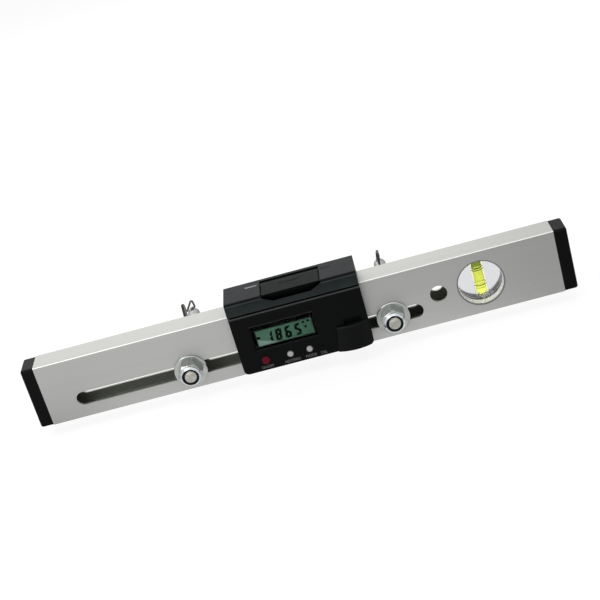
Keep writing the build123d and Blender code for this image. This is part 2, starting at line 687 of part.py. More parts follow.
def top_outline():
    """Top housing's section in Y and Z: sloping top, leaning front and a lip behind the bar."""
    overhang = PANEL_TOP + SEAM_GAP
    outline = Polygon(
        (TOP_REAR, BAR_HEIGHT - LIP_DROP),
        (TOP_REAR, REAR_Z),
        (CREASE_Y, CREASE_Z),
        (PANEL_FRONT - TOP_NOSE, overhang),
        (BAR_FRONT, overhang),
        (BAR_FRONT, BAR_HEIGHT),
        (BAR_REAR, BAR_HEIGHT),
        (BAR_REAR, BAR_HEIGHT - LIP_DROP),
        align=None,
    )
    outline = fillet(outline.vertices().group_by(Axis.Y)[-2], TOP_CREASE_RADIUS)
    return fillet(outline.vertices().group_by(Axis.Y)[-1], TOP_EDGE_RADIUS)


def top_room_outline():
    """Hollow of the top housing in Y and Z, open towards the bar."""
    return Polygon(
        (BAR_REAR, BAR_MIDDLE),
        (BAR_REAR, top_surface(BAR_REAR) - MODULE_WALL),
        (CREASE_Y + MODULE_WALL, top_surface(CREASE_Y) - MODULE_WALL),
        (PANEL_FRONT - TOP_NOSE + MODULE_WALL, PANEL_TOP),
        (PANEL_FRONT - TOP_NOSE + MODULE_WALL, BAR_MIDDLE),
        align=None,
    )


def top_boss_places():
    """Places along the bar of the top housing's screw bosses."""
    return [MODULE_LEFT + TOP_BOSS_MARGIN, MODULE_RIGHT - TOP_BOSS_MARGIN]


def hinge_axis():
    """Depth and height of the lid's hinge line."""
    y = LID_REAR - HINGE_RADIUS
    return y, top_surface(y) - HINGE_RADIUS


def make_top_housing():
    """Moulded shell over the bar with the lid's opening, hinge bosses and the finger scoop."""
    shell = long_prism(top_outline(), MODULE_LEFT, MODULE_RIGHT)
    room = long_prism(top_room_outline(), MODULE_LEFT + MODULE_WALL, MODULE_RIGHT - MODULE_WALL)
    floor = BAR_HEIGHT + CHASSIS_FLOOR
    for x in top_boss_places():
        room -= rod_z(BOSS_RADIUS, x, 0, floor, FAR)
    lid_floor = CREASE_Z - LID_THICKNESS - LID_SEAT
    scoop_left = LID_LEFT - LID_GAP
    scoop_right = LID_RIGHT + LID_GAP
    scoop_rear = PANEL_FRONT + SCOOP_DEPTH
    scoop_bottom = lid_floor - SCOOP_HEIGHT
    room -= block(scoop_left - SCOOP_WALL, scoop_right + SCOOP_WALL, PANEL_FRONT - PANEL_DEPTH,
                  scoop_rear + SCOOP_WALL, scoop_bottom - SCOOP_WALL, lid_floor)
    y, z = hinge_axis()
    boss_length = HINGE_PIVOT_LENGTH + HINGE_BOSS_WALL
    half = HINGE_PIVOT_RADIUS + HINGE_BOSS_WALL
    for x0 in (LID_LEFT - LID_GAP - boss_length, LID_RIGHT + LID_GAP):
        room -= block(x0, x0 + boss_length, y - half, y + half, z - half, REAR_Z)
    shell -= room
    opening_rear = LID_REAR + LID_REAR_GAP
    shell -= block(LID_LEFT - LID_GAP, LID_RIGHT + LID_GAP, -FAR, opening_rear, lid_floor, FAR)
    groove_rear = LID_REAR + LID_GROOVE_REACH
    shell -= block(LID_LEFT - LID_GAP, LID_RIGHT + LID_GAP, LID_REAR, groove_rear,
                   top_surface(LID_REAR) - LID_GROOVE_DEPTH, FAR)
    pivot_reach = HINGE_PIVOT_LENGTH + LID_GAP
    shell -= rod_x(HINGE_PIVOT_RADIUS + HINGE_FIT, LID_LEFT - pivot_reach, LID_RIGHT + pivot_reach, y, z)
    scoop = Polygon(
        (scoop_left, lid_floor),
        (BAY_X - SCOOP_LENGTH / 2, scoop_bottom),
        (BAY_X + SCOOP_LENGTH / 2, scoop_bottom),
        (scoop_right, lid_floor),
        align=None,
    )
    scoop = fillet(scoop.vertices().group_by(Axis.Y)[0], SCOOP_CORNER_RADIUS)
    shell -= front_prism(scoop, PANEL_FRONT - PANEL_DEPTH, scoop_rear)
    for x in top_boss_places():
        shell -= rod_z(SCREW_DIAMETER / 2 + SCREW_FIT, x, 0, floor, floor + SCREW_GRIP)
    return shell


def make_battery_lid():
    """Lid with a round hinge barrel along its rear edge and two end pivots."""
    y, z = hinge_axis()
    front = CREASE_Y + LID_FRONT_SETBACK
    plate = Polygon(
        (y, top_surface(y)),
        (front, top_surface(front)),
        (front, top_surface(front) - LID_THICKNESS),
        (y, top_surface(y) - LID_THICKNESS),
        align=None,
    )
    lid = long_prism(plate, LID_LEFT, LID_RIGHT) + rod_x(HINGE_RADIUS, LID_LEFT, LID_RIGHT, y, z)
    lid += rod_x(HINGE_PIVOT_RADIUS, LID_LEFT - HINGE_PIVOT_LENGTH, LID_RIGHT + HINGE_PIVOT_LENGTH, y, z)
    mark_y = LID_REAR - LID_MARK_SETBACK
    mark = block(BAY_X - LID_MARK_LENGTH / 2, BAY_X + LID_MARK_LENGTH / 2,
                 mark_y - LID_MARK_WIDTH / 2, mark_y + LID_MARK_WIDTH / 2,
                 top_surface(mark_y) - LID_MARK_DEPTH, FAR)
    return lid - mark


def screw_head_room(x, y, z, direction):
    """Countersink of one case screw at its seat, opening along a direction."""
    head = Cone(SCREW_DIAMETER / 2 + SCREW_FIT, SCREW_HEAD_DIAMETER / 2 + SCREW_FIT, SCREW_HEAD_DEPTH,
                align=(Align.CENTER, Align.CENTER, Align.MAX))
    shaft = Cylinder(SCREW_DIAMETER / 2 + SCREW_FIT, CHASSIS_FLOOR + CHASSIS_PLATE,
                     align=(Align.CENTER, Align.CENTER, Align.MAX))
    return Plane(origin=(x, y, z), z_dir=direction) * (head + shaft)


def make_chassis():
    """Angle-shaped inner frame: a plate on the bar's front and a floor on its top with the battery bay."""
    inset = MODULE_WALL + MODULE_FIT
    plate = front_prism(panel_outline(inset), PLATE_FRONT, BAR_FRONT)
    left = MODULE_LEFT + inset
    right = MODULE_RIGHT - inset
    plate += block(left, right, PLATE_FRONT, BAR_FRONT, BAR_MIDDLE, BAR_HEIGHT)
    floor_top = BAR_HEIGHT + CHASSIS_FLOOR
    floor = block(left, right, PLATE_FRONT, BAR_REAR - MODULE_FIT, BAR_HEIGHT, floor_top)
    half = CELL_LENGTH / 2 + CONTACT_THICKNESS
    bay_front = FRONT_CELL_Y - CELL_DIAMETER / 2 - CELL_FIT
    bay_rear = REAR_CELL_Y + CELL_DIAMETER / 2 + CELL_FIT
    for side in (-1, 1):
        inner = BAY_X + side * half
        outer = inner + side * BAY_WALL
        x0 = min(inner, outer)
        floor += block(x0, x0 + BAY_WALL, bay_front, bay_rear,
                       PANEL_TOP + MODULE_FIT, floor_top + BAY_WALL_HEIGHT)
    floor -= block(BAY_X - half, BAY_X + half, bay_front, bay_rear, BAR_HEIGHT + CHASSIS_SKIN, FAR)
    chassis = plate + floor - stem_hole(PLATE_FRONT - MODULE_FIT, BAR_FRONT)
    for x, z in panel_boss_places():
        chassis -= screw_head_room(x, BAR_FRONT, z, (0, 1, 0))
    for x in top_boss_places():
        chassis -= screw_head_room(x, 0, BAR_HEIGHT, (0, 0, -1))
    return chassis


def case_screw(x, y, z, direction, length):
    """One countersunk case screw with its head flush at its seat."""
    head = Cone(SCREW_DIAMETER / 2, SCREW_HEAD_DIAMETER / 2, SCREW_HEAD_DEPTH,
                align=(Align.CENTER, Align.CENTER, Align.MAX))
    shaft = Cylinder(SCREW_DIAMETER / 2, length, align=(Align.CENTER, Align.CENTER, Align.MAX))
    return Plane(origin=(x, y, z), z_dir=direction) * (head + shaft)


def make_case_screws():
    """All case screws: four into the front housing and two into the top housing."""
    grip = SCREW_GRIP - SCREW_HEAD_DEPTH / 2
    screws = []
    for x, z in panel_boss_places():
        screws.append(case_screw(x, BAR_FRONT, z, (0, 1, 0), CHASSIS_PLATE + grip))
    for x in top_boss_places():
        screws.append(case_screw(x, 0, BAR_HEIGHT, (0, 0, -1), CHASSIS_FLOOR + grip))
    return Compound(children=screws)


def make_cells():
    """Two battery cells side by side, laid head to tail."""
    cells = []
    for y, head in ((FRONT_CELL_Y, 1), (REAR_CELL_Y, -1)):
        tail_x = BAY_X - head * CELL_LENGTH / 2
        shoulder_x = BAY_X + head * (CELL_LENGTH / 2 - CELL_NUB_LENGTH)
        tip_x = BAY_X + head * CELL_LENGTH / 2
        can = rod_x(CELL_DIAMETER / 2, min(tail_x, shoulder_x), max(tail_x, shoulder_x), y, CELL_MIDDLE_Z)
        nub = rod_x(CELL_NUB_DIAMETER / 2, min(shoulder_x, tip_x), max(shoulder_x, tip_x), y, CELL_MIDDLE_Z)
        cells.append(can + nub)
    return Compound(children=cells)


def contact_plate(x0, y0, y1):
    """One sprung contact plate at the end of the battery bay."""
    z0 = CELL_MIDDLE_Z - CONTACT_HEIGHT / 2
    return block(x0, x0 + CONTACT_THICKNESS, y0, y1, z0, z0 + CONTACT_HEIGHT)


def make_bridge_contact():
    """Contact at the left end that joins the two cells."""
    x0 = BAY_X - CELL_LENGTH / 2 - CONTACT_THICKNESS
    return contact_plate(x0, FRONT_CELL_Y - CONTACT_WIDTH / 2, REAR_CELL_Y + CONTACT_WIDTH / 2)


def make_end_contacts():
    """Two separate contacts at the right end."""
    x0 = BAY_X + CELL_LENGTH / 2
    places = (FRONT_CELL_Y, REAR_CELL_Y)
    return Compound(children=[contact_plate(x0, y - CONTACT_WIDTH / 2, y + CONTACT_WIDTH / 2) for y in places])


def make_lcd_lens():
    """Clear window behind the front wall."""
    return front_prism(lcd_outline(LCD_BORDER), PANEL_INSIDE, LENS_REAR)


def make_lcd_panel():
    """Liquid crystal display behind the lens."""
    return front_prism(lcd_outline(LCD_BORDER), LCD_FRONT, LCD_REAR)


def make_circuit_board():
    """Circuit board behind the display, cut round the screw boss that it meets."""
    bottom = PANEL_BOTTOM + MODULE_WALL + BOARD_BOTTOM_MARGIN
    top = PANEL_TOP - MODULE_WALL - BOARD_TOP_MARGIN
    left = LCD_LEFT - BOARD_LEFT_MARGIN
    board = block(left, BOARD_RIGHT, LCD_REAR, LCD_REAR + BOARD_THICKNESS, bottom, top)
    for x, z in panel_boss_places():
        board -= rod_y(BOSS_RADIUS + BOSS_FIT, x, z, PANEL_FRONT, BAR_FRONT)
    return board


def make_tact_switches():
    """Tact switches on the board under the three buttons and behind the pinhole."""
    places = [x for _, x, _ in button_table()] + [MODULE_OFFSET + PINHOLE_OFFSET]
    face = LCD_REAR - SWITCH_HEIGHT
    half = SWITCH_SIZE / 2
    switches = []
    for x in places:
        body = block(x - half, x + half, face, LCD_REAR, BUTTON_ROW - half, BUTTON_ROW + half)
        plunger = rod_y(SWITCH_PLUNGER_DIAMETER / 2, x, BUTTON_ROW, face - SWITCH_PLUNGER_HEIGHT, face)
        switches.append(body + plunger)
    return Compound(children=switches)


def make_tilt_sensor():
    """Tilt sensor chip on the board beside the display."""
    left = LCD_RIGHT + SENSOR_MARGIN
    bottom = LCD_Z - SENSOR_SIZE / 2
    return block(left, left + SENSOR_SIZE, LCD_REAR - SENSOR_HEIGHT, LCD_REAR, bottom, bottom + SENSOR_SIZE)


def make_button(x, diameter):
    """Round crowned button with a keeper flange behind the front wall."""
    radius = diameter / 2
    front = PANEL_FRONT - BUTTON_PROUD
    flange_front = PANEL_INSIDE + BUTTON_SEAT
    flange_rear = flange_front + BUTTON_FLANGE_THICKNESS
    outline = [
        (0, front),
        (radius - 2 * BUTTON_CROWN, front),
        (radius, front + BUTTON_CROWN),
        (radius, flange_front),
        (radius + BUTTON_FLANGE, flange_front),
        (radius + BUTTON_FLANGE, flange_rear),
        (0, flange_rear),
    ]
    return turned(outline, x, BUTTON_ROW)


def latch_section():
    """Plan of the latch block in X and Y, with its front bowed out between two short sides."""
    rear = NOTCH_FLOOR - LATCH_CLEARANCE
    edge = PANEL_FRONT - LATCH_EDGE_RISE
    crown = edge - LATCH_BULGE
    sides = Polyline((LATCH_LEFT, edge), (LATCH_LEFT, rear), (MODULE_RIGHT, rear), (MODULE_RIGHT, edge))
    bow = ThreePointArc((MODULE_RIGHT, edge), (LATCH_MIDDLE, crown), (LATCH_LEFT, edge))
    return make_face(sides + bow)


def latch_front_outline():
    """Latch block seen from the front: leaning left side and a round lower right corner."""
    outline = Polygon(
        (LATCH_LEFT, PANEL_BOTTOM),
        (MODULE_RIGHT, PANEL_BOTTOM),
        (MODULE_RIGHT, LATCH_TOP),
        (LATCH_LEFT + LATCH_TAPER, LATCH_TOP),
        align=None,
    )
    corner = outline.vertices().group_by(Axis.Y)[0].sort_by(Axis.X)[-1]
    return fillet(corner, LATCH_CORNER_RADIUS)


def make_release_latch():
    """Bowed thumb block with side ribs, and a stem with a hook behind the bar's front wall."""
    latch = extrude(Pos(0, 0, PANEL_BOTTOM) * latch_section(), LATCH_HEIGHT)
    bow_edge = latch.edges().group_by(Axis.Z)[-1].sort_by(Axis.Y)[0]
    latch = fillet(bow_edge, LATCH_EDGE_RADIUS)
    latch &= front_prism(latch_front_outline(), -FAR, BAR_FRONT)
    for rib in range(RIB_COUNT):
        z = PANEL_BOTTOM + RIB_START + rib * RIB_PITCH
        latch -= block(MODULE_RIGHT - RIB_DEPTH, FAR, -FAR, BAR_FRONT, z, z + RIB_WIDTH)
    pocket_bottom = SPRING_BOTTOM - SHELF_THICKNESS - LATCH_CLEARANCE
    latch -= block(SPRING_X - POCKET_HALF_WIDTH, SPRING_X + POCKET_HALF_WIDTH, POCKET_FRONT, BAR_FRONT,
                   pocket_bottom, SPRING_TOP)
    stem_left = LATCH_MIDDLE - STEM_WIDTH / 2
    stem_right = LATCH_MIDDLE + STEM_WIDTH / 2
    hook_front = BAR_FRONT + BAR_WALL + LATCH_CLEARANCE
    hook_rear = hook_front + HOOK_THICKNESS
    hook_top = SLOT_HEIGHT + SLOT_WIDTH / 2 + HOOK_RISE
    latch += block(stem_left, stem_right, NOTCH_FLOOR - LATCH_CLEARANCE, hook_rear, STEM_BOTTOM, STEM_TOP)
    return latch + block(stem_left, stem_right, hook_front, hook_rear, STEM_BOTTOM, hook_top)


def make_latch_spring():
    """Return spring between the front housing's shelf and the top of the latch's pocket."""
    rise = SPRING_LENGTH - SPRING_WIRE
    path = Helix(rise / SPRING_TURNS, rise, (SPRING_DIAMETER - SPRING_WIRE) / 2)
    coil = sweep(Plane(origin=path @ 0, z_dir=path % 0) * Circle(SPRING_WIRE / 2), path, is_frenet=True)
    return Pos(SPRING_X, SPRING_Y, SPRING_BOTTOM + SPRING_WIRE / 2) * coil


def all_parts():
    """Every node's name with its solid."""
    parts = {
        "bar": make_bar(),
        "left_end_cap": make_end_cap(BAR_LEFT, -1),
        "right_end_cap": make_end_cap(BAR_RIGHT, 1),
        "vial_carrier": make_vial_carrier(),
        "vial_tube": make_vial_tube(),
        "vial_liquid": make_vial_liquid(),
        "vial_marks": make_vial_marks(),
        "front_housing": make_front_housing(),
        "top_housing": make_top_housing(),
        "module_chassis": make_chassis(),
        "case_screws": make_case_screws(),
        "battery_lid": make_battery_lid(),
        "battery_cells": make_cells(),
        "bridge_contact": make_bridge_contact(),
        "end_contacts": make_end_contacts(),
        "display_lens": make_lcd_lens(),
        "display_panel": make_lcd_panel(),
        "circuit_board": make_circuit_board(),
        "tact_switches": make_tact_switches(),
        "tilt_sensor": make_tilt_sensor(),
        "release_latch": make_release_latch(),
        "latch_spring": make_latch_spring(),
    }
    for name, x, diameter in button_table():
        parts[name] = make_button(x, diameter)
    for side, x in PIN_PLACES.items():
        parts[side + "_stud"] = make_stud(x)
        parts[side + "_washer"] = make_washer(x)
        parts[side + "_lock_nut"] = make_lock_nut(x, NUT_TURNS[side])
        parts[side + "_nylon_ring"] = make_nylon_ring(x)
        parts[side + "_centring_cone"] = make_cone(x)
        parts[side + "_wing_nut"] = make_wing_nut(x, WING_TURNS[side])
        parts[side + "_split_pin"] = make_split_pin(x, SPLIT_PIN_TURNS[side], EYE_DROPS[side])
    return parts


def main():
    """Write one file per node."""
    os.makedirs("parts", exist_ok=True)
    for name, shape in all_parts().items():
        export_step(shape, "parts/" + name + ".step")


main()
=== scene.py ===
"""Studio view of a digital flange level: finishes for its solids and the small pieces that dress them.

The level is a slotted aluminium bar with two flange pins, a black display module and a plumb vial.
Everything is in metres, in the part's own frame: X along the bar, Y towards the flange, Z up.
"""

import logging
import math
from dataclasses import dataclass
from enum import Enum
from functools import cache

import bpy
import numpy as np
from bpy.types import Material, Node, NodeOutputs, NodeSocket, NodeTree, Object, World
from mathutils import Matrix, Vector

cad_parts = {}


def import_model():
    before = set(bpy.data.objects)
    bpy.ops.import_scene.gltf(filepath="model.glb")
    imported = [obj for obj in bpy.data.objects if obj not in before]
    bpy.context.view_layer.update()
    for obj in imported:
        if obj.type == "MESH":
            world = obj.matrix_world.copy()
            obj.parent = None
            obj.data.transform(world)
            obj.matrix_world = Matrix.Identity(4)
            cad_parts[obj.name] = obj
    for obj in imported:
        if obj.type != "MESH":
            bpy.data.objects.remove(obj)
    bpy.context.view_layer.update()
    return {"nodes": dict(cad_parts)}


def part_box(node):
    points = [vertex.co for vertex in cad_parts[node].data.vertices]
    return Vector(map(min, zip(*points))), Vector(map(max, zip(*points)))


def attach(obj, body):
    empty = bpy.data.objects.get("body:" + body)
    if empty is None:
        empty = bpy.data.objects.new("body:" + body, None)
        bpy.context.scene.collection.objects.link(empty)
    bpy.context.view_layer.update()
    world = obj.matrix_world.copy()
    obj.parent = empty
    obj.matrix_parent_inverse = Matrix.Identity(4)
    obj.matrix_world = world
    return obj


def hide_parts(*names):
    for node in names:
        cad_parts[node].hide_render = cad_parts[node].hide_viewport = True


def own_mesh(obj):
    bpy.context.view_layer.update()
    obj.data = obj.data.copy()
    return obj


LOG = logging.getLogger("flange_level")
MM = 0.001
WHITE = (1.0, 1.0, 1.0, 1.0)
# Nearly all of a noise texture lies between these two values.
NOISE_SPAN = {"From Min": 0.3, "From Max": 0.7}
BUMP_STRENGTH = 0.5
SMOOTHEST = 0.02
TINY = 1e-9

Pair = tuple[float, float]
Pairs = tuple[Pair, ...]
Box = tuple[float, float, float, float]


def linear(code: str) -> tuple[float, float, float, float]:
    """Turn an sRGB hex code into a linear colour.

    Args:
        code: six hex digits.

    Returns:
        Red, green, blue and an alpha of one.
    """
    channels = np.array([int(code[i:i + 2], 16) for i in (0, 2, 4)]) / 255.0
    low = channels / 12.92
    high = ((channels + 0.055) / 1.055) ** 2.4
    return *np.where(channels <= 0.04045, low, high).tolist(), 1.0


def put(tree: NodeTree, kind: str, inputs: dict | None = None, **settings) -> Node:
    """Add one shader node to a tree, set its options and fill or link its inputs.

    Args:
        tree: the node tree that gets the node.
        kind: the node's type name after ShaderNode.
        inputs: input name or number to a value, to a node whose first active output is linked there, or to an output.
        settings: options of the node itself.

    Returns:
        The new node.
    """
    node = tree.nodes.new(f"ShaderNode{kind}")
    for key, value in settings.items():
        setattr(node, key, value)
    for key, value in (inputs or {}).items():
        if isinstance(value, Node):
            value = next(output for output in value.outputs if output.enabled)
        if isinstance(value, NodeSocket):
            tree.links.new(value, node.inputs[key])
        else:
            node.inputs[key].default_value = value
    return node


def fresh(owner: Material | World) -> NodeTree:
    """Turn on the nodes of a material or a world and empty them.

    Args:
        owner: the material or the world.

    Returns:
        Its node tree.
    """
    owner.use_nodes = True
    owner.node_tree.nodes.clear()
    return owner.node_tree


def axes(tree: NodeTree) -> NodeOutputs:
    """Object coordinates of the shaded point, one output an axis."""
    return put(tree, "SeparateXYZ", {0: put(tree, "TexCoord").outputs["Object"]}).outputs


def beyond(tree: NodeTree, spans: dict[str, Pair]) -> Node:
    """How far the shaded point is outside a box, and below nought inside it.

    It is the larger, over the two directions, of the distance from the box's middle less half the box's length.

    Args:
        tree: the node tree.
        spans: the box's low and high end in millimetres, for the letters of two axes.

    Returns:
        The node that gives the distance in metres.
    """
    gaps = []
    for axis, (low, high) in spans.items():
        away = put(tree, "Math", {0: axes(tree)[axis], 1: (low + high) / 2 * MM}, operation="SUBTRACT")
        size = put(tree, "Math", {0: away}, operation="ABSOLUTE")
        gaps.append(put(tree, "Math", {0: size, 1: (high - low) / 2 * MM}, operation="SUBTRACT"))
    return put(tree, "Math", dict(enumerate(gaps)), operation="MAXIMUM")


def stepped(tree: NodeTree, value: NodeSocket, places: Pairs) -> Node:
    """Share that follows straight lines between places along one coordinate.

    It is the first place's share times one ramp for each line, which goes from one to the line's ratio.

    Args:
        tree: the node tree.
        value: the coordinate.
        places: coordinates in metres, from low to high, each with its share.

    Returns:
        The node that gives the share.
    """
    total = places[0][1]
    for (start, before), (end, after) in zip(places, places[1:]):
        ramp = put(tree, "MapRange", {
            "Value": value, "From Min": start, "From Max": end, "To Min": 1.0, "To Max": after / before,
        })
        total = put(tree, "Math", {0: total, 1: ramp}, operation="MULTIPLY")
    return total


def per_size(size_mm: float) -> float:
    """Texture scale whose pattern repeats at about a size in millimetres."""
    return 1.0 / (size_mm * MM)


class Axis(Enum):
    """Direction that drawn-out grain or a row of bands follows."""

    X = 0
    Y = 1
    Z = 2


@dataclass(frozen=True)
class Finish:
    """A surface with one base colour, and roughness and bump that vary over it.

    Attributes:
        name: the real material's name.
        colour: sRGB hex of the base colour.
        roughness: middle roughness.
        metallic: one for a metal.
        ior: index of refraction.
        specular: specular level, one half for a plain dielectric.
        grain_mm: size of the surface grain.
        bump_mm: height of the grain.
        tone: how far the colour varies, as a share.
        tone_mm: size of the colour's variation.
        spread: how far the roughness varies.
        streak: direction that the grain is drawn out along, or none.
        stretch: how many times longer than wide a drawn-out grain is.
        along: direction in which the bands follow one another.
        bands: from low to high, a place or a band's two ends in millimetres, and the sRGB hex there, or none.
    """

    name: str
    colour: str
    roughness: float = 0.5
    metallic: float = 0.0
    ior: float = 1.5
    specular: float = 0.5
    grain_mm: float = 0.5
    bump_mm: float = 0.01
    tone: float = 0.05
    tone_mm: float = 25.0
    spread: float = 0.06
    streak: Axis | None = None
    stretch: float = 120.0
    along: Axis = Axis.Z
    bands: tuple[tuple, ...] = ()

    def place(self, tree: NodeTree) -> Node:
        """Object coordinates that the patterns read, drawn out along the streak's direction where there is one."""
        scale = [1.0 / self.stretch if axis is self.streak else 1.0 for axis in Axis]
        return put(tree, "Mapping", {"Vector": put(tree, "TexCoord").outputs["Object"], "Scale": scale})

    def way(self, tree: NodeTree, low: float, high: float) -> Node:
        """Share of the way between two places in millimetres along the bands' direction."""
        ends = {"From Min": low * MM, "From Max": high * MM}
        return put(tree, "MapRange", {"Value": axes(tree)[self.along.value], **ends})

    def base(self, tree: NodeTree) -> Node | tuple[float, float, float]:
        """The one colour, or the colour read from the bands.

        Args:
            tree: the node tree.

        Returns:
            The colour's node or its three channels.
        """
        if not self.bands:
            return linear(self.colour)[:3]
        spots = [(spot, code) for *ends, code in self.bands for spot in ends]
        low, high = spots[0][0], spots[-1][0]
        ramp = put(tree, "ValToRGB", {"Fac": self.way(tree, low, high)})
        stops = ramp.color_ramp.elements
        for spot, _ in spots[1:-1]:
            stops.new((spot - low) / (high - low))
        for stop, (_, code) in zip(stops, spots):
            stop.color = linear(code)
        return ramp

    def toned(self, tree: NodeTree, place: Node) -> Node:
        """Base colour with soft lighter and darker patches.

        Args:
            tree: the node tree.
            place: the coordinates.

        Returns:
            The colour's node.
        """
        noise = put(tree, "TexNoise", {"Vector": place, "Scale": per_size(self.tone_mm), "Detail": 3.0})
        low, high = 1.0 - self.tone, 1.0 + self.tone
        share = put(tree, "MapRange", {"Value": noise, **NOISE_SPAN, "To Min": low, "To Max": high})
        return put(tree, "VectorMath", {0: self.base(tree), "Scale": share}, operation="SCALE")

    def grain(self, tree: NodeTree, place: Node) -> tuple[Node, Node]:
        """Fine grain that drives the roughness and the bump.

        Args:
            tree: the node tree.
            place: the coordinates.

        Returns:
            The roughness's node and the bump's.
        """
        noise = put(tree, "TexNoise", {"Vector": place, "Scale": per_size(self.grain_mm), "Detail": 2.0})
        low, high = max(SMOOTHEST, self.roughness - self.spread), min(1.0, self.roughness + self.spread)
        rough = put(tree, "MapRange", {"Value": noise, **NOISE_SPAN, "To Min": low, "To Max": high})
        return rough, put(tree, "Bump", {"Height": noise, "Strength": BUMP_STRENGTH, "Distance": self.bump_mm * MM})

    def shader(self, tree: NodeTree) -> Node:
        """Add the surface's shader.

        Args:
            tree: the node tree.

        Returns:
            The shader's node.
        """
        place = self.place(tree)
        rough, bump = self.grain(tree, place)
        return put(tree, "BsdfPrincipled", {
            "Base Color": self.toned(tree, place), "Roughness": rough, "Normal": bump,
            "Metallic": self.metallic, "IOR": self.ior, "Specular IOR Level": self.specular,
        })

    @cache
    def make(self) -> Material:
        """Build the material, once for each finish.

        Returns:
            The finished material.
        """
        material = bpy.data.materials.new(self.name)
        material.diffuse_color = linear(self.colour)
        tree = fresh(material)
        put(tree, "OutputMaterial", {"Surface": self.shader(tree)})
        return material

    def coat(self, thing: Object) -> None:
        """Give every material slot of an object this finish.

        Args:
            thing: the object.
        """
        if not thing.material_slots:
            thing.data.materials.append(self.make())
        for slot in thing.material_slots:
            slot.material = self.make()


@dataclass(frozen=True)
class HollowFinish(Finish):
    """A long hollow piece that is finished outside and darker inside: partly a duller surface, partly painted shade.

    Attributes:
        dull_and_shade: sRGB hex of the inside, a duller surface darkened further as painted shade.
        depths: front and rear end of the darker inside in Y, in millimetres.
        heights: its lower and upper end in Z.
        fade_mm: width of the change.
        deep: places in X, from low to high, each with the share of the inside colour that painted shade leaves there.
    """

    dull_and_shade: str = "949690"
    depths: Pair = (-10.7, 10.7)
    heights: Pair = (0.7, 49.3)
    fade_mm: float = 0.1
    deep: Pairs = ((-60.0, 1.0), (60.0, 1.0))

    def toned(self, tree: NodeTree, place: Node) -> Node:
        """Base colour outside, and inside a darker colour that painted shade deepens along X.

        Args:
            tree: the node tree.
            place: the coordinates.

        Returns:
            The colour's node.
        """
        past = beyond(tree, {"Y": self.depths, "Z": self.heights})
        share = put(tree, "MapRange", {"Value": past, "From Max": self.fade_mm * MM})
        # Painted shade: the inside colour darkens along X.
        fall = stepped(tree, axes(tree)["X"], tuple((spot * MM, left) for spot, left in self.deep))
        hollow = put(tree, "VectorMath", {0: linear(self.dull_and_shade)[:3], "Scale": fall}, operation="SCALE")
        return put(tree, "Mix", {0: share, 6: hollow, 7: super().toned(tree, place)}, data_type="RGBA")


@dataclass(frozen=True)
class ClearFinish(Finish):
    """A see-through plastic or liquid, smooth and even unless its fields say otherwise.

    Attributes:
        clear: transmission weight.
        glow: share of its own colour that it gives off as light of its own, painted light that stands for a fluorescent
            dye's glow.
        mirror: share of the bare surface's reflection that an anti-reflection coat leaves.
        frost_mm: place along the bands' direction up to which the surface is frosted, or none.
        edge_mm: width of the frost's edge.
        frost: transmission weight, roughness and glow of the frosted part, that glow being painted light.
    """

    roughness: float = 0.02
    tone: float = 0.01
    spread: float = 0.01
    clear: float = 1.0
    glow: float = 0.0
    mirror: float = 1.0
    frost_mm: float | None = None
    edge_mm: float = 0.1
    frost: tuple[float, float, float] = (0.1, 0.5, 0.1)

    def shader(self, tree: NodeTree) -> Node:
        """Add the surface's shader.

        Args:
            tree: the node tree.

        Returns:
            The shader's node.
        """
        place = self.place(tree)
        rough, _ = self.grain(tree, place)
        colour = self.toned(tree, place)
        clear, glow = self.clear, self.glow
        if self.frost_mm is not None:
            share = self.way(tree, self.frost_mm, self.frost_mm + self.edge_mm)
            clear, rough, glow = (put(tree, "Mix", {0: share, 2: frosted, 3: plain})
                                  for frosted, plain in zip(self.frost, (clear, rough, glow)))
        return put(tree, "BsdfPrincipled", {
            "Base Color": colour, "Roughness": rough, "IOR": self.ior, "Transmission Weight": clear,
            "Emission Color": colour, "Emission Strength": glow,
            "Specular Tint": (self.mirror, self.mirror, self.mirror, 1.0),
        })


@dataclass(frozen=True)
class DisplayFinish(Finish):
    """Liquid crystal glass: a reflecting backing, painted paler under a slanting sheen, with painted shade along its
    frame and towards its right end.

    Attributes:
        pale: sRGB hex under the painted sheen.
        slant: how far the sheen's upper edge falls along X.
        rise_mm: height of that edge where X is nought.
        fade_mm: width of its soft edge.
        shade: sRGB hex of the painted shade along the frame.
        glass: left, right, bottom and top of the free glass, in millimetres.
        rim_mm: width of the shaded rim.
        fall: share of the colour that painted shade leaves at the glass's right end.
    """

    pale: str = "C0D2C4"
    slant: float = 0.353
    rise_mm: float = 17.3
    fade_mm: float = 1.4
    shade: str = "1C2C24"
    glass: Box = (-1.0, 1.0, -1.0, 1.0)
    rim_mm: float = 1.2
    fall: float = 0.76

    def toned(self, tree: NodeTree, place: Node) -> Node:
        """Colour that is painted paler under the sheen and darkened by painted shade along the frame and towards the
        right end.

        Args:
            tree: the node tree.
            place: the coordinates.

        Returns:
            The colour's node.
        """
        height = put(tree, "VectorMath", {0: place, 1: (self.slant, 0.0, 1.0)}, operation="DOT_PRODUCT")
        low, high = (self.rise_mm + side * self.fade_mm / 2 for side in (-1, 1))
        share = put(tree, "MapRange", {"Value": height, "From Min": low * MM, "From Max": high * MM})
        sheen = put(tree, "Mix", {0: share, 6: linear(self.pale), 7: linear(self.colour)}, data_type="RGBA")
        left, right, bottom, top = self.glass
        past = beyond(tree, {"X": (left, right), "Z": (bottom, top)})
        rim = put(tree, "MapRange", {"Value": past, "From Max": -self.rim_mm * MM})
        shaded = put(tree, "Mix", {0: rim, 6: linear(self.shade), 7: sheen}, data_type="RGBA")
        dim = stepped(tree, axes(tree)["X"], (((left + right) / 2 * MM, 1.0), (right * MM, self.fall)))
        return put(tree, "VectorMath", {0: shaded, "Scale": dim}, operation="SCALE")


# Left, right, bottom and top of the display's free glass, in millimetres.
GLASS = (-31.3, 12.6, 22.2, 35.8)
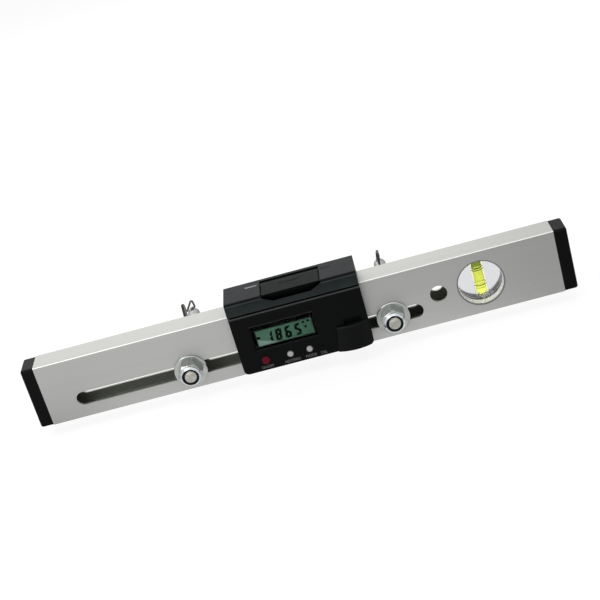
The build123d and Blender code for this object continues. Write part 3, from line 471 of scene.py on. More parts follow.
# Anodised aluminium extrusion: satin grey with faint die lines along its length. Its bands paint a highlight along the
# top front edge, painted shade on the top face and a slightly darker bottom; its hollow is darker inside, with painted
# shade that deepens towards the right and lifts again at the hanging hole.
BAR_FINISH = HollowFinish(
    "anodised_aluminium", "B4B4B2", metallic=1.0, grain_mm=0.7, bump_mm=0.003, tone=0.012, tone_mm=3.0, spread=0.03,
    streak=Axis.X,
    bands=((0.0, "A2A2A0"), (0.5, 49.3, "B4B4B2"), (49.45, 49.9, "F4F4F2"), (49.97, 50.0, "A9AAA6")),
    deep=((-40.0, 1.0), (60.0, 0.62), (95.0, 0.62), (100.0, 1.15)),
)
# Moulded polyethylene caps: black with a fine spark-eroded grain.
CAP_FINISH = Finish("moulded_polyethylene", "09090A", specular=0.09, bump_mm=0.02)
# Moulded ABS of the upper case: charcoal with a satin grain. Its bands paint the front facet lighter where light falls
# on it and a painted highlight along the crease under a band of painted shade; its inside is painted near black as
# shade.
TOP_FINISH = HollowFinish(
    "satin_abs_upper_case", "15181A", roughness=0.42, specular=0.06, bump_mm=0.015, tone=0.12, tone_mm=14.0, spread=0.1,
    bands=(
        (52.0, "323838"), (60.5, "2A2F30"), (60.85, 61.2, "404646"), (61.5, 62.72, "07090A"), (62.75, 63.2, "15181A"),
    ),
    dull_and_shade="020202", depths=(-18.5, 12.3), heights=(45.0, 61.0),
)
# The same ABS, in a smoother lid painted darker as painted shade; the right hinge rib wears it as painted shade too.
LID_FINISH = Finish("satin_abs_lid", "0B0E0F", roughness=0.42, specular=0.028, tone=0.12, tone_mm=14.0, spread=0.1)
# Moulded ABS of the front panel: black and a little duller, with a painted highlight along its upper chamfer.
PANEL_FINISH = Finish(
    "satin_abs_front_panel", "08090A", roughness=0.45, specular=0.07, grain_mm=0.4, bump_mm=0.005,
    bands=((2.0, 49.6, "08090A"), (49.9, 50.45, "5A5C5D"), (50.6, 51.0, "08090A")),
)
# Moulded ABS of the latch: black, polished by thumbs.
LATCH_FINISH = Finish("satin_abs_latch", "08090A", roughness=0.4, specular=0.1, grain_mm=0.4, bump_mm=0.012)
# The ABS of the left hinge rib, painted grey and smooth as a painted highlight.
GLINT_RIB_FINISH = Finish(
    "abs_painted_glint", "6C6E71", roughness=0.35, specular=0.2, grain_mm=0.4, bump_mm=0.004, tone=0.25, tone_mm=4.0,
)
# The ABS along the window's lip, painted lighter than the panel as a painted highlight.
LIP_FINISH = Finish(
    "abs_lip_painted_highlight", "3A3A3C", roughness=0.3, specular=0.2, grain_mm=0.4, bump_mm=0.004, tone=0.2, tone_mm=6.0,
)
# Nylon chassis: dull black.
CHASSIS_FINISH = Finish("glass_filled_nylon", "0D0E0F", roughness=0.6, specular=0.2, grain_mm=0.7, bump_mm=0.02)
# Cast acrylic: clear in its web, frosted in front with a faint glow of painted light, and smoked by painted shade of
# the bar behind.
ACRYLIC_FINISH = ClearFinish(
    "cast_acrylic", "E4E6E6", ior=1.49, along=Axis.Y,
    bands=(
        (-10.6, -10.25, "8A8B88"), (-10.05, -3.9, "F0F1EE"), (-3.7, -1.4, "5A575A"), (-1.25, 1.25, "DADBDE"),
        (1.4, 7.0, "5A575A"),
    ),
    frost_mm=-3.8,
)
# Acrylic tube sunk in spirit and carrier: its edges hardly show.
TUBE_FINISH = ClearFinish("moulded_acrylic_tube", "F5F7D6", ior=1.03)
# Thin acrylic window with an anti-reflection coat: clear, with hardly a glint or bend.
WINDOW_FINISH = ClearFinish("coated_acrylic_window", "F6F9F8", ior=1.08, mirror=0.3)
# Spirit with a fluorescent yellow-green dye: it is given a little glow in its own colour as painted light, and its
# bands paint a pale foot, shade that deepens up to the bubble and a dark painted shade line under the bubble's foot.
SPIRIT_FINISH = ClearFinish(
    "dyed_spirit", "DDE464", ior=1.2, tone=0.02, clear=0.7, glow=0.22,
    bands=(
        (11.3, "F8FAB8"), (13.5, "F2F69C"), (16.5, "EEF290"), (16.65, 17.05, "626A22"), (17.2, "EEF298"),
        (19.4, "E8EC8A"), (20.6, "DAE080"), (30.0, "D4DA7C"), (32.5, "D4DC92"), (32.7, 33.4, "161C06"),
        (33.6, 34.4, "A6B464"), (34.8, 39.0, "A6B468"),
    ),
)
# The vial's bubble: vapour behind a film of spirit, painted darker than the spirit as painted shade, with a painted
# highlight along its curved foot.
BUBBLE_FINISH = Finish(
    "spirit_vapour_bubble", "75802A", roughness=0.15, specular=0.4, bump_mm=0.0,
    bands=((33.6, 34.4, "A2B060"), (35.0, "90A04E"), (38.5, "7A8838")),
)
# Screen-printed black ink.
INK_FINISH = Finish("black_screen_ink", "050606", roughness=0.7, specular=0.05, grain_mm=0.3, bump_mm=0.0)
# Olive enamel of the vial's fine rings.
MARK_FINISH = Finish("olive_ring_enamel", "3E4618", roughness=0.6, specular=0.1, grain_mm=0.3, bump_mm=0.0)
# Screen-printed grey ink of the key labels.
LABEL_FINISH = Finish("grey_screen_ink", "868788", roughness=0.6, specular=0.2, grain_mm=0.3, bump_mm=0.0)
# Bright zinc plate on steel: silver with slight clouding.
ZINC_FINISH = Finish(
    "bright_zinc_plate", "ABAEAB", roughness=0.2, metallic=1.0, grain_mm=1.2, bump_mm=0.006, tone=0.12, tone_mm=5.0,
    spread=0.08,
)
# The same plate on the nuts: cloudy flanks, and a painted highlight on the collar's front.
NUT_FINISH = Finish(
    "bright_zinc_nut", "A2A6A4", roughness=0.18, metallic=1.0, grain_mm=0.9, bump_mm=0.02, tone=0.32, tone_mm=1.0,
    spread=0.08, along=Axis.Y, bands=((-23.0, -21.7, "C2C7CA"), (-21.4, -13.0, "A2A6A4")),
)
# Rolled thread under the same plate: satin, with a paler sawn front end.
STUD_FINISH = Finish(
    "zinc_plated_thread", "8C8E8E", roughness=0.36, metallic=1.0, grain_mm=0.9, bump_mm=0.006, tone=0.14, tone_mm=2.0,
    spread=0.08, along=Axis.Y,
    bands=((-30.0, -22.0, "AFAEA7"), (-18.0, 28.0, "8C8E8E"), (34.0, 50.0, "A6A8A6")),
)
# Black oxide on the cast wing nuts: nearly black, with a dull sheen.
OXIDE_FINISH = Finish(
    "black_oxide_steel", "30302E", roughness=0.45, metallic=1.0, grain_mm=1.5, tone=0.2, tone_mm=4.0, spread=0.1,
)
# Spring wire of the split pins: grey under worn plate.
WIRE_FINISH = Finish(
    "worn_zinc_wire", "6A6B69", roughness=0.36, metallic=1.0, grain_mm=1.5, tone=0.2, tone_mm=3.0, spread=0.1,
)
# Turned aluminium of the centring cones: bright, with the fine uneven grain that the tool left.
CONE_FINISH = Finish(
    "turned_aluminium", "B9BABA", roughness=0.3, metallic=1.0, grain_mm=0.4, bump_mm=0.006, tone=0.04, tone_mm=3.0,
)
# Black nylon of the locking rings: smooth and dull.
NYLON_FINISH = Finish("black_nylon", "0C0E10", specular=0.15, grain_mm=0.6, bump_mm=0.006)
# Moulded ABS of the power key: crimson, with a soft gloss and painted shade round its edge.
RED_FINISH = Finish(
    "satin_abs_red_key", "6E0F24", roughness=0.34, specular=0.12, bump_mm=0.006, along=Axis.Y,
    bands=((-20.1, -20.06, "6E0F24"), (-20.0, -17.0, "420A16")),
)
# Moulded ABS of the white keys, with a soft gloss and painted shade round their edges.
WHITE_FINISH = Finish(
    "satin_abs_white_key", "D0CED0", roughness=0.34, bump_mm=0.006, tone=0.12, tone_mm=1.5, along=Axis.Y,
    bands=((-20.1, -20.06, "D0CED0"), (-20.0, -17.0, "848284")),
)
# Circuit board laminate under green solder mask.
BOARD_FINISH = Finish("solder_masked_laminate", "1B5B34", roughness=0.4, grain_mm=1.0, bump_mm=0.02, tone=0.15)
# Moulded epoxy of chips and switches.
CHIP_FINISH = Finish("moulded_epoxy", "191919", grain_mm=0.3)
# Printed sleeve over the battery cell's can: navy with a brown end.
CELL_FINISH = Finish(
    "printed_cell_sleeve", "20262E", roughness=0.4, specular=0.2, grain_mm=1.0, bump_mm=0.004, along=Axis.X,
    bands=((-18.6, 11.0, "20262E"), (11.3, 25.9, "33261D")),
)
# Nickel plate on spring steel, dulled by handling.
NICKEL_FINISH = Finish("nickel_plated_spring_steel", "55534E", roughness=0.4, metallic=1.0, grain_mm=0.8, bump_mm=0.004)
# Liquid crystal glass over a grey-green reflector, with a painted sheen and painted shade.
DISPLAY_FINISH = DisplayFinish(
    "liquid_crystal_glass", "466856", roughness=0.4, specular=0.1, grain_mm=0.6, bump_mm=0.0, pale="789086",
    glass=GLASS,
)

PIN_SIDES = ("left", "right")
NODE_FINISHES = {
    "bar": BAR_FINISH, "left_end_cap": CAP_FINISH, "right_end_cap": CAP_FINISH,
    "vial_carrier": ACRYLIC_FINISH, "vial_tube": TUBE_FINISH, "vial_liquid": SPIRIT_FINISH, "vial_marks": MARK_FINISH,
    "front_housing": PANEL_FINISH, "top_housing": TOP_FINISH, "module_chassis": CHASSIS_FINISH,
    "case_screws": ZINC_FINISH, "battery_lid": LID_FINISH, "battery_cells": CELL_FINISH,
    "bridge_contact": NICKEL_FINISH, "end_contacts": NICKEL_FINISH, "display_lens": WINDOW_FINISH,
    "display_panel": DISPLAY_FINISH, "circuit_board": BOARD_FINISH, "tact_switches": CHIP_FINISH,
    "tilt_sensor": CHIP_FINISH, "release_latch": LATCH_FINISH, "latch_spring": NICKEL_FINISH,
    "power_button": RED_FINISH, "zero_button": WHITE_FINISH, "mode_button": WHITE_FINISH,
}
PIN_FINISHES = {
    "stud": STUD_FINISH, "washer": ZINC_FINISH, "lock_nut": NUT_FINISH, "nylon_ring": NYLON_FINISH,
    "centring_cone": CONE_FINISH, "wing_nut": OXIDE_FINISH, "split_pin": WIRE_FINISH,
}


def quads(rows: int, columns: int, looped: bool) -> np.ndarray:
    """Faces of rows of points, each row a closed ring.

    Each face joins a point to its right neighbour and to the two points of the next row.

    Args:
        rows: number of rows of points.
        columns: number of points in a row.
        looped: whether the last row meets the first.

    Returns:
        An array of four point numbers a face.
    """
    row, column = np.meshgrid(np.arange(rows if looped else rows - 1), np.arange(columns), indexing="ij")
    here, after = row * columns, (row + 1) % rows * columns
    right = (column + 1) % columns
    return np.stack((here + column, here + right, after + right, after + column), axis=-1).reshape(-1, 4)


def capped(rings: np.ndarray) -> tuple[np.ndarray, list]:
    """Close a tube of point rings at both ends.

    Each ring is joined to the next by four-sided faces, and each end ring by triangles to its mean point.

    Args:
        rings: an array of rows, points round the tube, and three coordinates.

    Returns:
        The points and the faces.
    """
    rows, columns, _ = rings.shape
    points = np.concatenate((rings.reshape(-1, 3), rings[[0, -1]].mean(axis=1)))
    here = np.arange(columns)
    after = (here + 1) % columns
    last = (rows - 1) * columns
    first_middle = rows * columns
    start = np.stack((np.full(columns, first_middle), after, here), axis=-1)
    end = np.stack((np.full(columns, first_middle + 1), last + here, last + after), axis=-1)
    return points, quads(rows, columns, False).tolist() + start.tolist() + end.tolist()


def linked(name: str, data: bpy.types.ID) -> Object:
    """Make an object at the origin and link it to the scene.

    Args:
        name: its name.
        data: its mesh, text, camera or light.

    Returns:
        The new object.
    """
    thing = bpy.data.objects.new(name, data)
    bpy.context.scene.collection.objects.link(thing)
    return thing


def solid(name: str, points: np.ndarray, faces: list, smooth: bool) -> Object:
    """Put points and faces into a new object at the origin.

    Args:
        name: the piece's name.
        points: an array of points in metres.
        faces: lists of point numbers.
        smooth: whether its faces are shaded smooth.

    Returns:
        The new object, linked to the scene.
    """
    mesh = bpy.data.meshes.new(name)
    mesh.from_pydata(points.reshape(-1, 3).tolist(), [], faces)
    mesh.polygons.foreach_set("use_smooth", np.full(len(mesh.polygons), smooth))
    mesh.update()
    return linked(name, mesh)


def corners(box: Box) -> np.ndarray:
    """Corners of a rectangle with a left, right, bottom and top, anticlockwise from the lower left."""
    left, right, bottom, top = box
    return np.array([[left, bottom], [right, bottom], [right, top], [left, top]])


def upright(outline: np.ndarray, depth: float) -> np.ndarray:
    """Stand the points of an outline in X and Z at one depth in Y."""
    return np.column_stack((outline[:, 0], np.full(len(outline), depth), outline[:, 1]))


def slab(outline: np.ndarray, front: float, rear: float) -> tuple[np.ndarray, list]:
    """Carry a convex outline in X and Z from one depth to another.

    The ring of points is repeated at both depths, joined by side faces and closed by two flat faces.

    Args:
        outline: points in X and Z, anticlockwise as seen from the front.
        front: depth of the front face.
        rear: depth of the rear face.

    Returns:
        The points and the faces.
    """
    count = len(outline)
    faces = quads(2, count, False)[:, ::-1].tolist()
    faces += [list(range(count)), list(range(2 * count - 1, count - 1, -1))]
    return np.concatenate((upright(outline, front), upright(outline, rear))), faces


def dress(thing: Object, finish: Finish, body: str) -> Object:
    """Coat a new piece and put it on a body.

    Args:
        thing: the piece.
        finish: its finish.
        body: the body that it rides on.

    Returns:
        The piece.
    """
    finish.coat(thing)
    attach(thing, body)
    return thing


@dataclass
class FlangePin:
    """Threaded stud of one flange pin.

    Attributes:
        side: which end of the bar it is towards.
        pitch: thread pitch in metres.
        depth: thread depth.
        slack: how far the crests stay under the plain stud's surface.
        flat: share of a pitch that the crests, and the roots, are flat on.
        chamfer: how far each end tapers.
        steps: points along one pitch.
        sectors: points round the stud.
    """

    side: str
    pitch: float = 1.5 * MM
    depth: float = 0.75 * MM
    slack: float = 0.04 * MM
    flat: float = 0.1
    chamfer: float = 0.8 * MM
    steps: int = 6
    sectors: int = 40

    def build(self) -> Object:
        """Make the thread as one surface over length and angle.

        The radius is the crest radius less the thread depth times a flat-topped triangle wave of the phase, which
        is the length in pitches less the angle in turns. It is held under a straight taper at both ends, which are
        closed at the axis.

        Returns:
            The threaded stud.
        """
        node = f"{self.side}_stud"
        low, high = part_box(node)
        middle = (low + high) / 2
        crest = (high.x - low.x) / 2 - self.slack
        length = high.y - low.y
        rows = int(length / self.pitch * self.steps)
        along = np.linspace(0.0, length, rows)[:, None]
        turn = np.linspace(0.0, -2 * math.pi, self.sectors, endpoint=False)[None, :]
        phase = (along / self.pitch - turn / (2 * math.pi)) % 1.0
        wave = np.clip((np.abs(2.0 * phase - 1.0) - self.flat) / (1.0 - 2.0 * self.flat), 0.0, 1.0)
        taper = crest - self.chamfer + np.minimum(along, length - along)
        radius = np.minimum(crest - self.depth * wave, taper)
        rings = np.stack((middle.x + radius * np.cos(turn), low.y + along + 0.0 * turn,
                          middle.z + radius * np.sin(turn)), axis=-1)
        piece = solid(f"{self.side}_stud_thread", *capped(rings), True)
        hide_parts(node)
        return dress(piece, STUD_FINISH, f"{self.side}_pin")


@dataclass
class PlumbVial:
    """Bubble in the plumb vial.

    Attributes:
        film: spirit left between the bubble and the glass, in metres.
        length: how far the bubble reaches down from the top of the spirit.
        slack: how far it stays inside its room.
        sectors: points round it.
        steps: rings on its round foot.
        tip: angle in radians of the first ring from the foot's lowest point.
    """

    film: float = 0.4 * MM
    length: float = 4.8 * MM
    slack: float = 0.03 * MM
    sectors: int = 48
    steps: int = 20
    tip: float = 0.02

    def build(self) -> Object:
        """Make the bubble as a turned surface.

        The foot is half a sphere: at an angle from its lowest point, the radius is the bubble's radius times the
        sine and the height is the sphere's middle less the radius times the cosine. A straight neck goes up from it
        to the top of the spirit.

        Returns:
            The bubble.
        """
        low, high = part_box("vial_liquid")
        middle = (low + high) / 2
        radius = (high.x - low.x) / 2 - self.film - self.slack
        centre = high.z - self.length + radius
        angle = np.linspace(self.tip, math.pi / 2, self.steps)
        reach = np.append(radius * np.sin(angle), radius)[:, None]
        height = np.append(centre - radius * np.cos(angle), high.z - self.slack)[:, None]
        turn = np.linspace(0.0, 2 * math.pi, self.sectors, endpoint=False)[None, :]
        rings = np.stack((middle.x + reach * np.cos(turn), middle.y + reach * np.sin(turn), height + 0.0 * turn),
                         axis=-1)
        return dress(solid("vial_bubble", *capped(rings), True), BUBBLE_FINISH, "bar")


@dataclass
class LatchSpring:
    """Return spring of the release latch.

    Attributes:
        wire: wire diameter in metres.
        turns: number of turns.
        travel: how far the latch presses it; not used.
        steps: rings of points along one turn.
        sectors: points round the wire.
    """

    wire: float = 0.5 * MM
    turns: int = 4
    travel: float = 3.0 * MM
    steps: int = 24
    sectors: int = 10

    def build(self) -> Object:
        """Make the coil as a tube along a helix.

        The helix turns and rises evenly. Round each of its points lies a ring of the wire's radius, spanned by the
        outward direction and by the direction square to it and to the helix.

        Returns:
            The spring.
        """
        low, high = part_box("latch_spring")
        middle = (low + high) / 2
        wire = self.wire / 2
        coil = (high.x - low.x) / 2 - wire
        length = high.z - low.z
        share = np.linspace(0.0, 1.0, self.turns * self.steps + 1)[:, None]
        angle = 2 * math.pi * self.turns * share
        turn = np.linspace(0.0, -2 * math.pi, self.sectors, endpoint=False)[None, :]
        climb = math.atan2((length - self.wire) / (2 * math.pi * self.turns), coil)
        out = coil + wire * np.cos(turn)
        side = wire * np.sin(turn)
        rings = np.stack((middle.x + out * np.cos(angle) + side * math.sin(climb) * np.sin(angle),
                          middle.y + out * np.sin(angle) - side * math.sin(climb) * np.cos(angle),
                          low.z + wire + (length - self.wire) * share + side * math.cos(climb)), axis=-1)
        piece = solid("latch_return_spring", *capped(rings), True)
        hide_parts("latch_spring")
        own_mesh(piece)
        return dress(piece, NICKEL_FINISH, "bar")


SEGMENTS = {"1": "bc", "5": "acdfg", "6": "acdefg", "8": "abcdefg"}


@dataclass
class DisplayFace:
    """What the display shows and what is printed round it, in millimetres.

    Attributes:
        digits: each digit with the place of its lower left corner along the bar.
        base: height of the digits' feet.
        width: width of a digit.
        height: height of a digit.
        stroke: width of a segment.
        cut: how far the outer corners are cut off.
        notch: how far a side segment's outer edge stops short of half height.
        apart: share of its size that each segment keeps, which leaves a hairline to the next.
        lean: sideways lean of the digits, as a share of their height.
        ink_thickness: thickness of what is drawn.
        glass: left, right, bottom and top of the glass that the mask leaves free.
        edge: how far the mask stays inside the display's outline.
        signs: outlines of a dash, two arrowheads and a degree square.
    """

    digits: tuple = (("1", -24.1), ("8", -16.95), ("6", -9.65), ("5", -2.15))
    base: float = 23.8
    width: float = 4.8
    height: float = 9.6
    stroke: float = 1.95
    cut: float = 0.25
    notch: float = 0.35
    apart: float = 0.99
    lean: float = 0.09
    ink_thickness: float = 0.05
    glass: Box = GLASS
    edge: float = 0.3
    signs: tuple[Pairs, ...] = (
        ((-31.0, 28.6), (-28.3, 28.6), (-28.3, 30.5), (-31.0, 30.5)),
        ((8.2, 32.8), (10.9, 32.8), (9.55, 35.3)),
        ((5.3, 30.1), (6.65, 27.6), (8.0, 30.1)),
        ((4.7, 32.5), (6.8, 32.5), (6.8, 34.1), (4.7, 34.1)),
    )

    def segments(self) -> dict[str, np.ndarray]:
        """Outlines of the seven segments of an upright digit with its lower left corner at nought.

        The top segment is a strip mitred to the sides at its inner corners. The upper right one is mitred to it and
        comes to a point at half height. The middle one is pointed at both ends. The others are mirror images.

        Returns:
            Points in X and Z in millimetres, in turn from the left by way of the foot, for each segment's letter.
        """
        wide, tall, thick, half = self.width, self.height, self.stroke, self.stroke / 2
        middle = tall / 2
        top = np.array([[self.cut, tall], [thick, tall - thick], [wide - thick, tall - thick], [wide - self.cut, tall]])
        side = np.array([[wide, tall - self.cut], [wide - thick, tall - thick], [wide - thick, middle + half],
                         [wide - half, middle], [wide, middle + self.notch]])
        bar = np.array([[half, middle], [thick, middle - half], [wide - thick, middle - half], [wide - half, middle],
                        [wide - thick, middle + half], [thick, middle + half]])
        foot, under = (outline[::-1] * (1.0, -1.0) + (0.0, tall) for outline in (top, side))
        left, left_under = (outline[::-1] * (-1.0, 1.0) + (wide, 0.0) for outline in (side, under))
        return {"a": top, "b": side, "c": under, "d": foot, "e": left_under, "f": left, "g": bar}

    def shown(self) -> list[np.ndarray]:
        """Outlines of all that is lit.

        Each segment is shrunk about its mean point, leant over and moved to its digit's place.

        Returns:
            Points in X and Z in millimetres, one array for each segment and sign.
        """
        shapes = {name: outline.mean(0) + self.apart * (outline - outline.mean(0))
                  for name, outline in self.segments().items()}
        slope = np.array([[1.0, 0.0], [self.lean, 1.0]])
        lit = [shapes[name] @ slope + (x, self.base) for digit, x in self.digits for name in SEGMENTS[digit]]
        return lit + [np.array(sign) for sign in self.signs]

    def build(self) -> Object:
        """Make the lit segments as thin prisms on the display's face.

        Returns:
            The shown digits and signs.
        """
        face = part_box("display_panel")[0].y
        slabs = [slab(outline * MM, face - self.ink_thickness * MM, face) for outline in self.shown()]
        starts = np.cumsum([0] + [len(points) for points, _ in slabs]).tolist()
        faces = [[start + index for index in loop] for start, (_, loops) in zip(starts, slabs) for loop in loops]
        piece = solid("display_segments", np.concatenate([points for points, _ in slabs]), faces, False)
        return dress(piece, INK_FINISH, "bar")

    def mask(self) -> Object:
        """Print the black frame round the free glass.

        Four rings of four corners follow one another: the outline on the display's face, the same in front by the
        ink's thickness, the free glass's corners there, and the same on the face. Each ring meets the next, and the
        last meets the first.

        Returns:
            The printed frame.
        """
        low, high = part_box("display_panel")
        rim = self.edge * MM
        outer = (low.x + rim, high.x - rim, low.z + rim, high.z - rim)
        inner = tuple(value * MM for value in self.glass)
        front = low.y - self.ink_thickness * MM
        frames = ((outer, low.y), (outer, front), (inner, front), (inner, low.y))
        rings = np.stack([upright(corners(box), depth) for box, depth in frames])
        piece = solid("display_mask", rings, quads(4, 4, True).tolist(), False)
        return dress(piece, INK_FINISH, "bar")


@dataclass
class KeyLabels:
    """Printed names under the keys.

    Attributes:
        words: each word with its middle and its width along the bar, in millimetres.
        height: height of the words' middle.
        tall: letter height.
        ink_thickness: thickness of the print.
    """

    words: tuple = (("ON/OFF", -28.75, 9.2), ("ABS/ZERO", -9.4, 12.2), ("MODE", 5.0, 8.2), ("CAL", 14.8, 4.8))
    height: float = 6.1
    tall: float = 2.2
    ink_thickness: float = 0.03

    def word(self, text: str, middle: float, width: float, face: float) -> Object:
        """Make one word as a flat mesh on the panel.

        Each point's place in the letters' own box, as a share of that box, gives its place in the word's box.

        Args:
            text: the word.
            middle: its middle along the bar, in millimetres.
            width: its width in millimetres.
            face: depth of the panel's face.

        Returns:
            The word.
        """
        curve = bpy.data.curves.new("label_curve", "FONT")
        curve.body = text
        curve.extrude = self.ink_thickness * MM / 2
        carrier = linked("label_carrier", curve)
        bpy.context.view_layer.update()
        mesh = bpy.data.meshes.new_from_object(carrier.evaluated_get(bpy.context.evaluated_depsgraph_get()))
        bpy.data.objects.remove(carrier)
        spots = np.zeros(len(mesh.vertices) * 3)
        mesh.vertices.foreach_get("co", spots)
        spots = spots.reshape(-1, 3)
        low, high = spots.min(0), spots.max(0)
        share = (spots - (low + high) / 2) / np.maximum(high - low, TINY)
        placed = np.column_stack((middle * MM + share[:, 0] * width * MM,
                                  face - share[:, 2] * self.ink_thickness * MM,
                                  self.height * MM + share[:, 1] * self.tall * MM))
        mesh.vertices.foreach_set("co", placed.ravel())
        mesh.update()
        name = "label_" + "".join(sign for sign in text.lower() if sign.isalpha())
        return linked(name, mesh)

    def build(self) -> list[Object]:
        """Print every word."""
        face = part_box("front_housing")[0].y
        return [dress(self.word(*word, face), LABEL_FINISH, "bar") for word in self.words]


@dataclass
class HousingMarks:
    """Lip over the display window and the low hinge ribs beside the battery lid: a painted highlight on the lip and the
    left rib, painted shade on the right rib.

    Attributes:
        lip: left, right, bottom and top of the lip on the panel, in millimetres.
        ribs: name, finish, and left, right, front and rear end of each rib on the top plate.
        slope: the plate's height in millimetres where Y is nought, and how much it rises a millimetre.
        proud: how far the lip and the ribs stand out.
        sunk: how far they reach into the plastic.
        taper: how much shorter a rib's front edge is at each end.
    """

    lip: Box = (-34.2, 14.6, 40.85, 41.15)
    # The left rib carries a painted highlight, the right one painted shade.
    ribs: tuple = (("left_hinge_rib", GLINT_RIB_FINISH, (-30.9, -20.9, 1.7, 3.9)),
                   ("right_hinge_rib", LID_FINISH, (27.6, 35.6, 1.7, 3.3)))
    slope: Pair = (62.9405, 0.01266)
    proud: float = 0.05
    sunk: float = 0.05
    taper: float = 0.8

    def rib(self, name: str, box: Box) -> Object:
        """Make one rib on the sloping top plate.

        A slab with a tapered outline is laid down: its depth becomes its height, and each point is then raised by
        the plate's rise at its own place in Y.

        Args:
            name: the piece's name.
            box: left, right, front and rear end in millimetres.

        Returns:
            The rib.
        """
        left, right, front, rear = box
        outline = np.array([[left + self.taper, front], [right - self.taper, front], [right, rear], [left, rear]])
        points, faces = slab(outline, -self.proud, self.sunk)
        base, rise = self.slope
        laid = np.column_stack((points[:, 0], points[:, 2], base + rise * points[:, 2] - points[:, 1]))
        return solid(name, laid * MM, faces, False)

    def build(self) -> list[Object]:
        """Make the lip and the ribs.

        Returns:
            The pieces.
        """
        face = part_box("front_housing")[0].y
        lip = slab(corners(self.lip) * MM, face - self.proud * MM, face + self.sunk * MM)
        pieces = [dress(solid("window_lip", *lip, False), LIP_FINISH, "bar")]
        return pieces + [dress(self.rib(name, box), finish, "bar")
                         for name, finish, box in self.ribs]


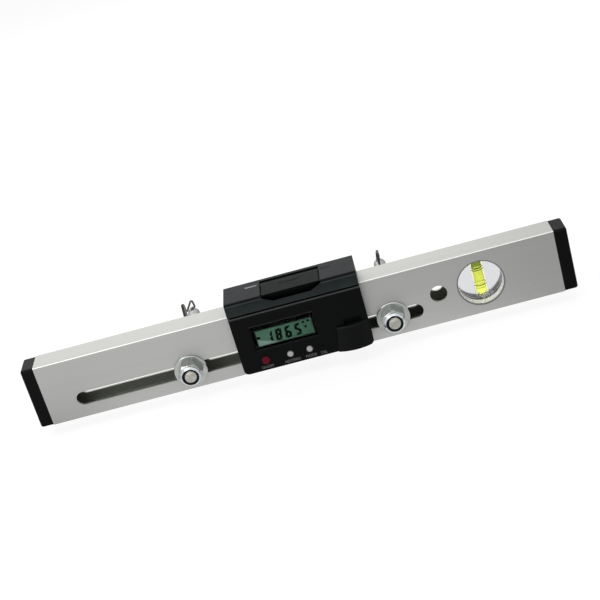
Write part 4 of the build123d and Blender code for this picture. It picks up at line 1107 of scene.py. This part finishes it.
@dataclass
class Studio:
    """Camera, pale floor and soft light.

    Attributes:
        spot: camera place in metres.
        azimuth: degrees that the camera stands to the right of straight in front.
        elevation: degrees that it looks down.
        roll: degrees that the picture is turned.
        lens: focal length in millimetres, on a sensor 36 mm wide.
        floor_height: height of the floor.
        floor_size: length of its sides.
        floor_paper: how much light its paper gives back.
        floor_glow: light of its own that the eye sees on it.
        floor_fall: places in X, each with the share of the floor's light that reflections see there.
        floor_near: the same for the strip of floor close to the bar, on top of it.
        near: places in Y between which that strip sets in.
        ambient: strength of the soft light from all round.
        lamps: name, place, width and height, and power of each softbox.
        target: the point that the softboxes face.
    """

    spot: tuple[float, float, float] = (0.0764, -0.9560, 0.4709)
    azimuth: float = 4.148
    elevation: float = 24.028
    roll: float = -16.517
    lens: float = 84.0636
    floor_height: float = -0.0104
    floor_size: float = 8.0
    floor_paper: float = 0.24
    floor_glow: float = 0.84
    floor_fall: Pairs = ((-0.06, 1.0), (0.03, 0.79), (0.045, 0.5), (0.06, 0.5), (0.075, 0.69), (0.2, 0.4))
    floor_near: Pairs = (
        (-0.2, 0.55), (-0.14, 1.0), (0.03, 1.0), (0.045, 1.8), (0.06, 1.8), (0.075, 1.5), (0.1, 1.7), (0.14, 1.7),
        (0.2, 1.45),
    )
    near: Pair = (-0.09, -0.03)
    ambient: float = 0.5
    lamps: tuple = (
        ("key_softbox", (-0.25, 1.00, 0.95), (1.3, 1.3), 6.0),
        ("front_softbox", (-0.9, -1.1, 1.1), (1.2, 1.2), 9.0),
        ("edge_strip", (0.0, -0.38, 1.0), (1.4, 0.1), 1.6),
    )
    target: tuple[float, float, float] = (0.0, 0.0, 0.03)

    def camera(self) -> None:
        """Stand the camera where the photograph was taken from."""
        azimuth, elevation, roll = np.radians((self.azimuth, self.elevation, self.roll))
        data = bpy.data.cameras.new("studio_camera")
        data.lens = self.lens
        camera = linked("studio_camera", data)
        camera.matrix_world = Matrix.Translation(self.spot)
        for angle, axis in ((azimuth, "Z"), (math.pi / 2 - elevation, "X"), (roll, "Z")):
            camera.matrix_world @= Matrix.Rotation(angle, 4, axis)
        bpy.context.scene.camera = camera

    def seen(self, tree: NodeTree) -> Node:
        """One where the eye, a reflection or a clear piece looks, and nought for soft light.

        Args:
            tree: the node tree.

        Returns:
            The node that tells them apart.
        """
        path = put(tree, "LightPath").outputs
        first = put(tree, "Math", {0: path["Is Camera Ray"], 1: path["Is Glossy Ray"]}, operation="MAXIMUM")
        return put(tree, "Math", {0: first, 1: path["Is Transmission Ray"]}, operation="MAXIMUM")

    def floor(self) -> None:
        """Lay the pale floor, which keeps the level's shadow."""
        half = self.floor_size / 2
        points = np.column_stack((corners((-half, half, -half, half)), np.full(4, self.floor_height)))
        floor = solid("studio_floor", points, [[0, 1, 2, 3]], False)
        material = bpy.data.materials.new("matt_paper_sweep")
        tree = fresh(material)
        paper = self.floor_paper
        matt = put(tree, "BsdfDiffuse", {"Color": (paper, paper, paper, 1.0)})
        spot = axes(tree)
        far = stepped(tree, spot["X"], tuple((x, share * self.floor_glow) for x, share in self.floor_fall))
        strip = stepped(tree, spot["X"], self.floor_near)
        start, end = self.near
        close = put(tree, "MapRange", {"Value": spot["Y"], "From Min": start, "From Max": end})
        gain = put(tree, "Mix", {0: close, 2: 1.0, 3: strip})
        fall = put(tree, "Math", {0: far, 1: gain}, operation="MULTIPLY")
        path = put(tree, "LightPath").outputs
        mirrored = put(tree, "Math", {0: path["Is Glossy Ray"], 1: path["Is Transmission Ray"]},
                       operation="SUBTRACT", use_clamp=True)
        glow = put(tree, "Mix", {0: mirrored, 2: self.floor_glow, 3: fall})
        shine = put(tree, "Emission", {"Color": WHITE, "Strength": glow})
        lit = put(tree, "AddShader", {0: matt, 1: shine})
        mixed = put(tree, "MixShader", {0: self.seen(tree), 1: matt, 2: lit})
        put(tree, "OutputMaterial", {"Surface": mixed})
        floor.data.materials.append(material)

    def world(self) -> None:
        """Surround everything with soft light and a white background."""
        world = bpy.data.worlds.new("studio_world")
        bpy.context.scene.world = world
        tree = fresh(world)
        dim = put(tree, "Background", {"Color": WHITE, "Strength": self.ambient})
        white = put(tree, "Background", {"Color": WHITE, "Strength": 1.0})
        put(tree, "OutputWorld", {"Surface": put(tree, "MixShader", {0: self.seen(tree), 1: dim, 2: white})})

    def light(self) -> None:
        """Hang the softboxes, each turned towards the level."""
        for name, spot, (width, height), power in self.lamps:
            data = bpy.data.lights.new(name, "AREA")
            data.shape = "RECTANGLE"
            data.size = width
            data.size_y = height
            data.energy = power
            lamp = linked(name, data)
            lamp.location = spot
            lamp.rotation_euler = (Vector(self.target) - Vector(spot)).to_track_quat("-Z", "Y").to_euler()

    def build(self) -> None:
        """Set up the whole studio."""
        bpy.context.scene.view_settings.view_transform = "Standard"
        self.camera()
        self.floor()
        self.world()
        self.light()


def main() -> None:
    """Dress the level, set up the studio and log the name of each piece made."""
    logging.basicConfig(level=logging.INFO)
    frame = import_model()
    finishes = NODE_FINISHES | {f"{side}_{name}": PIN_FINISHES[name] for side in PIN_SIDES for name in PIN_FINISHES}
    for node, thing in frame["nodes"].items():
        finishes[node].coat(thing)
    display = DisplayFace()
    pieces = [FlangePin(side).build() for side in PIN_SIDES]
    pieces += [PlumbVial().build(), LatchSpring().build(), display.build(), display.mask()]
    for piece in pieces + KeyLabels().build() + HousingMarks().build():
        LOG.info("made %s", piece.name)
    Studio().build()


if __name__ == "__main__":
    main()
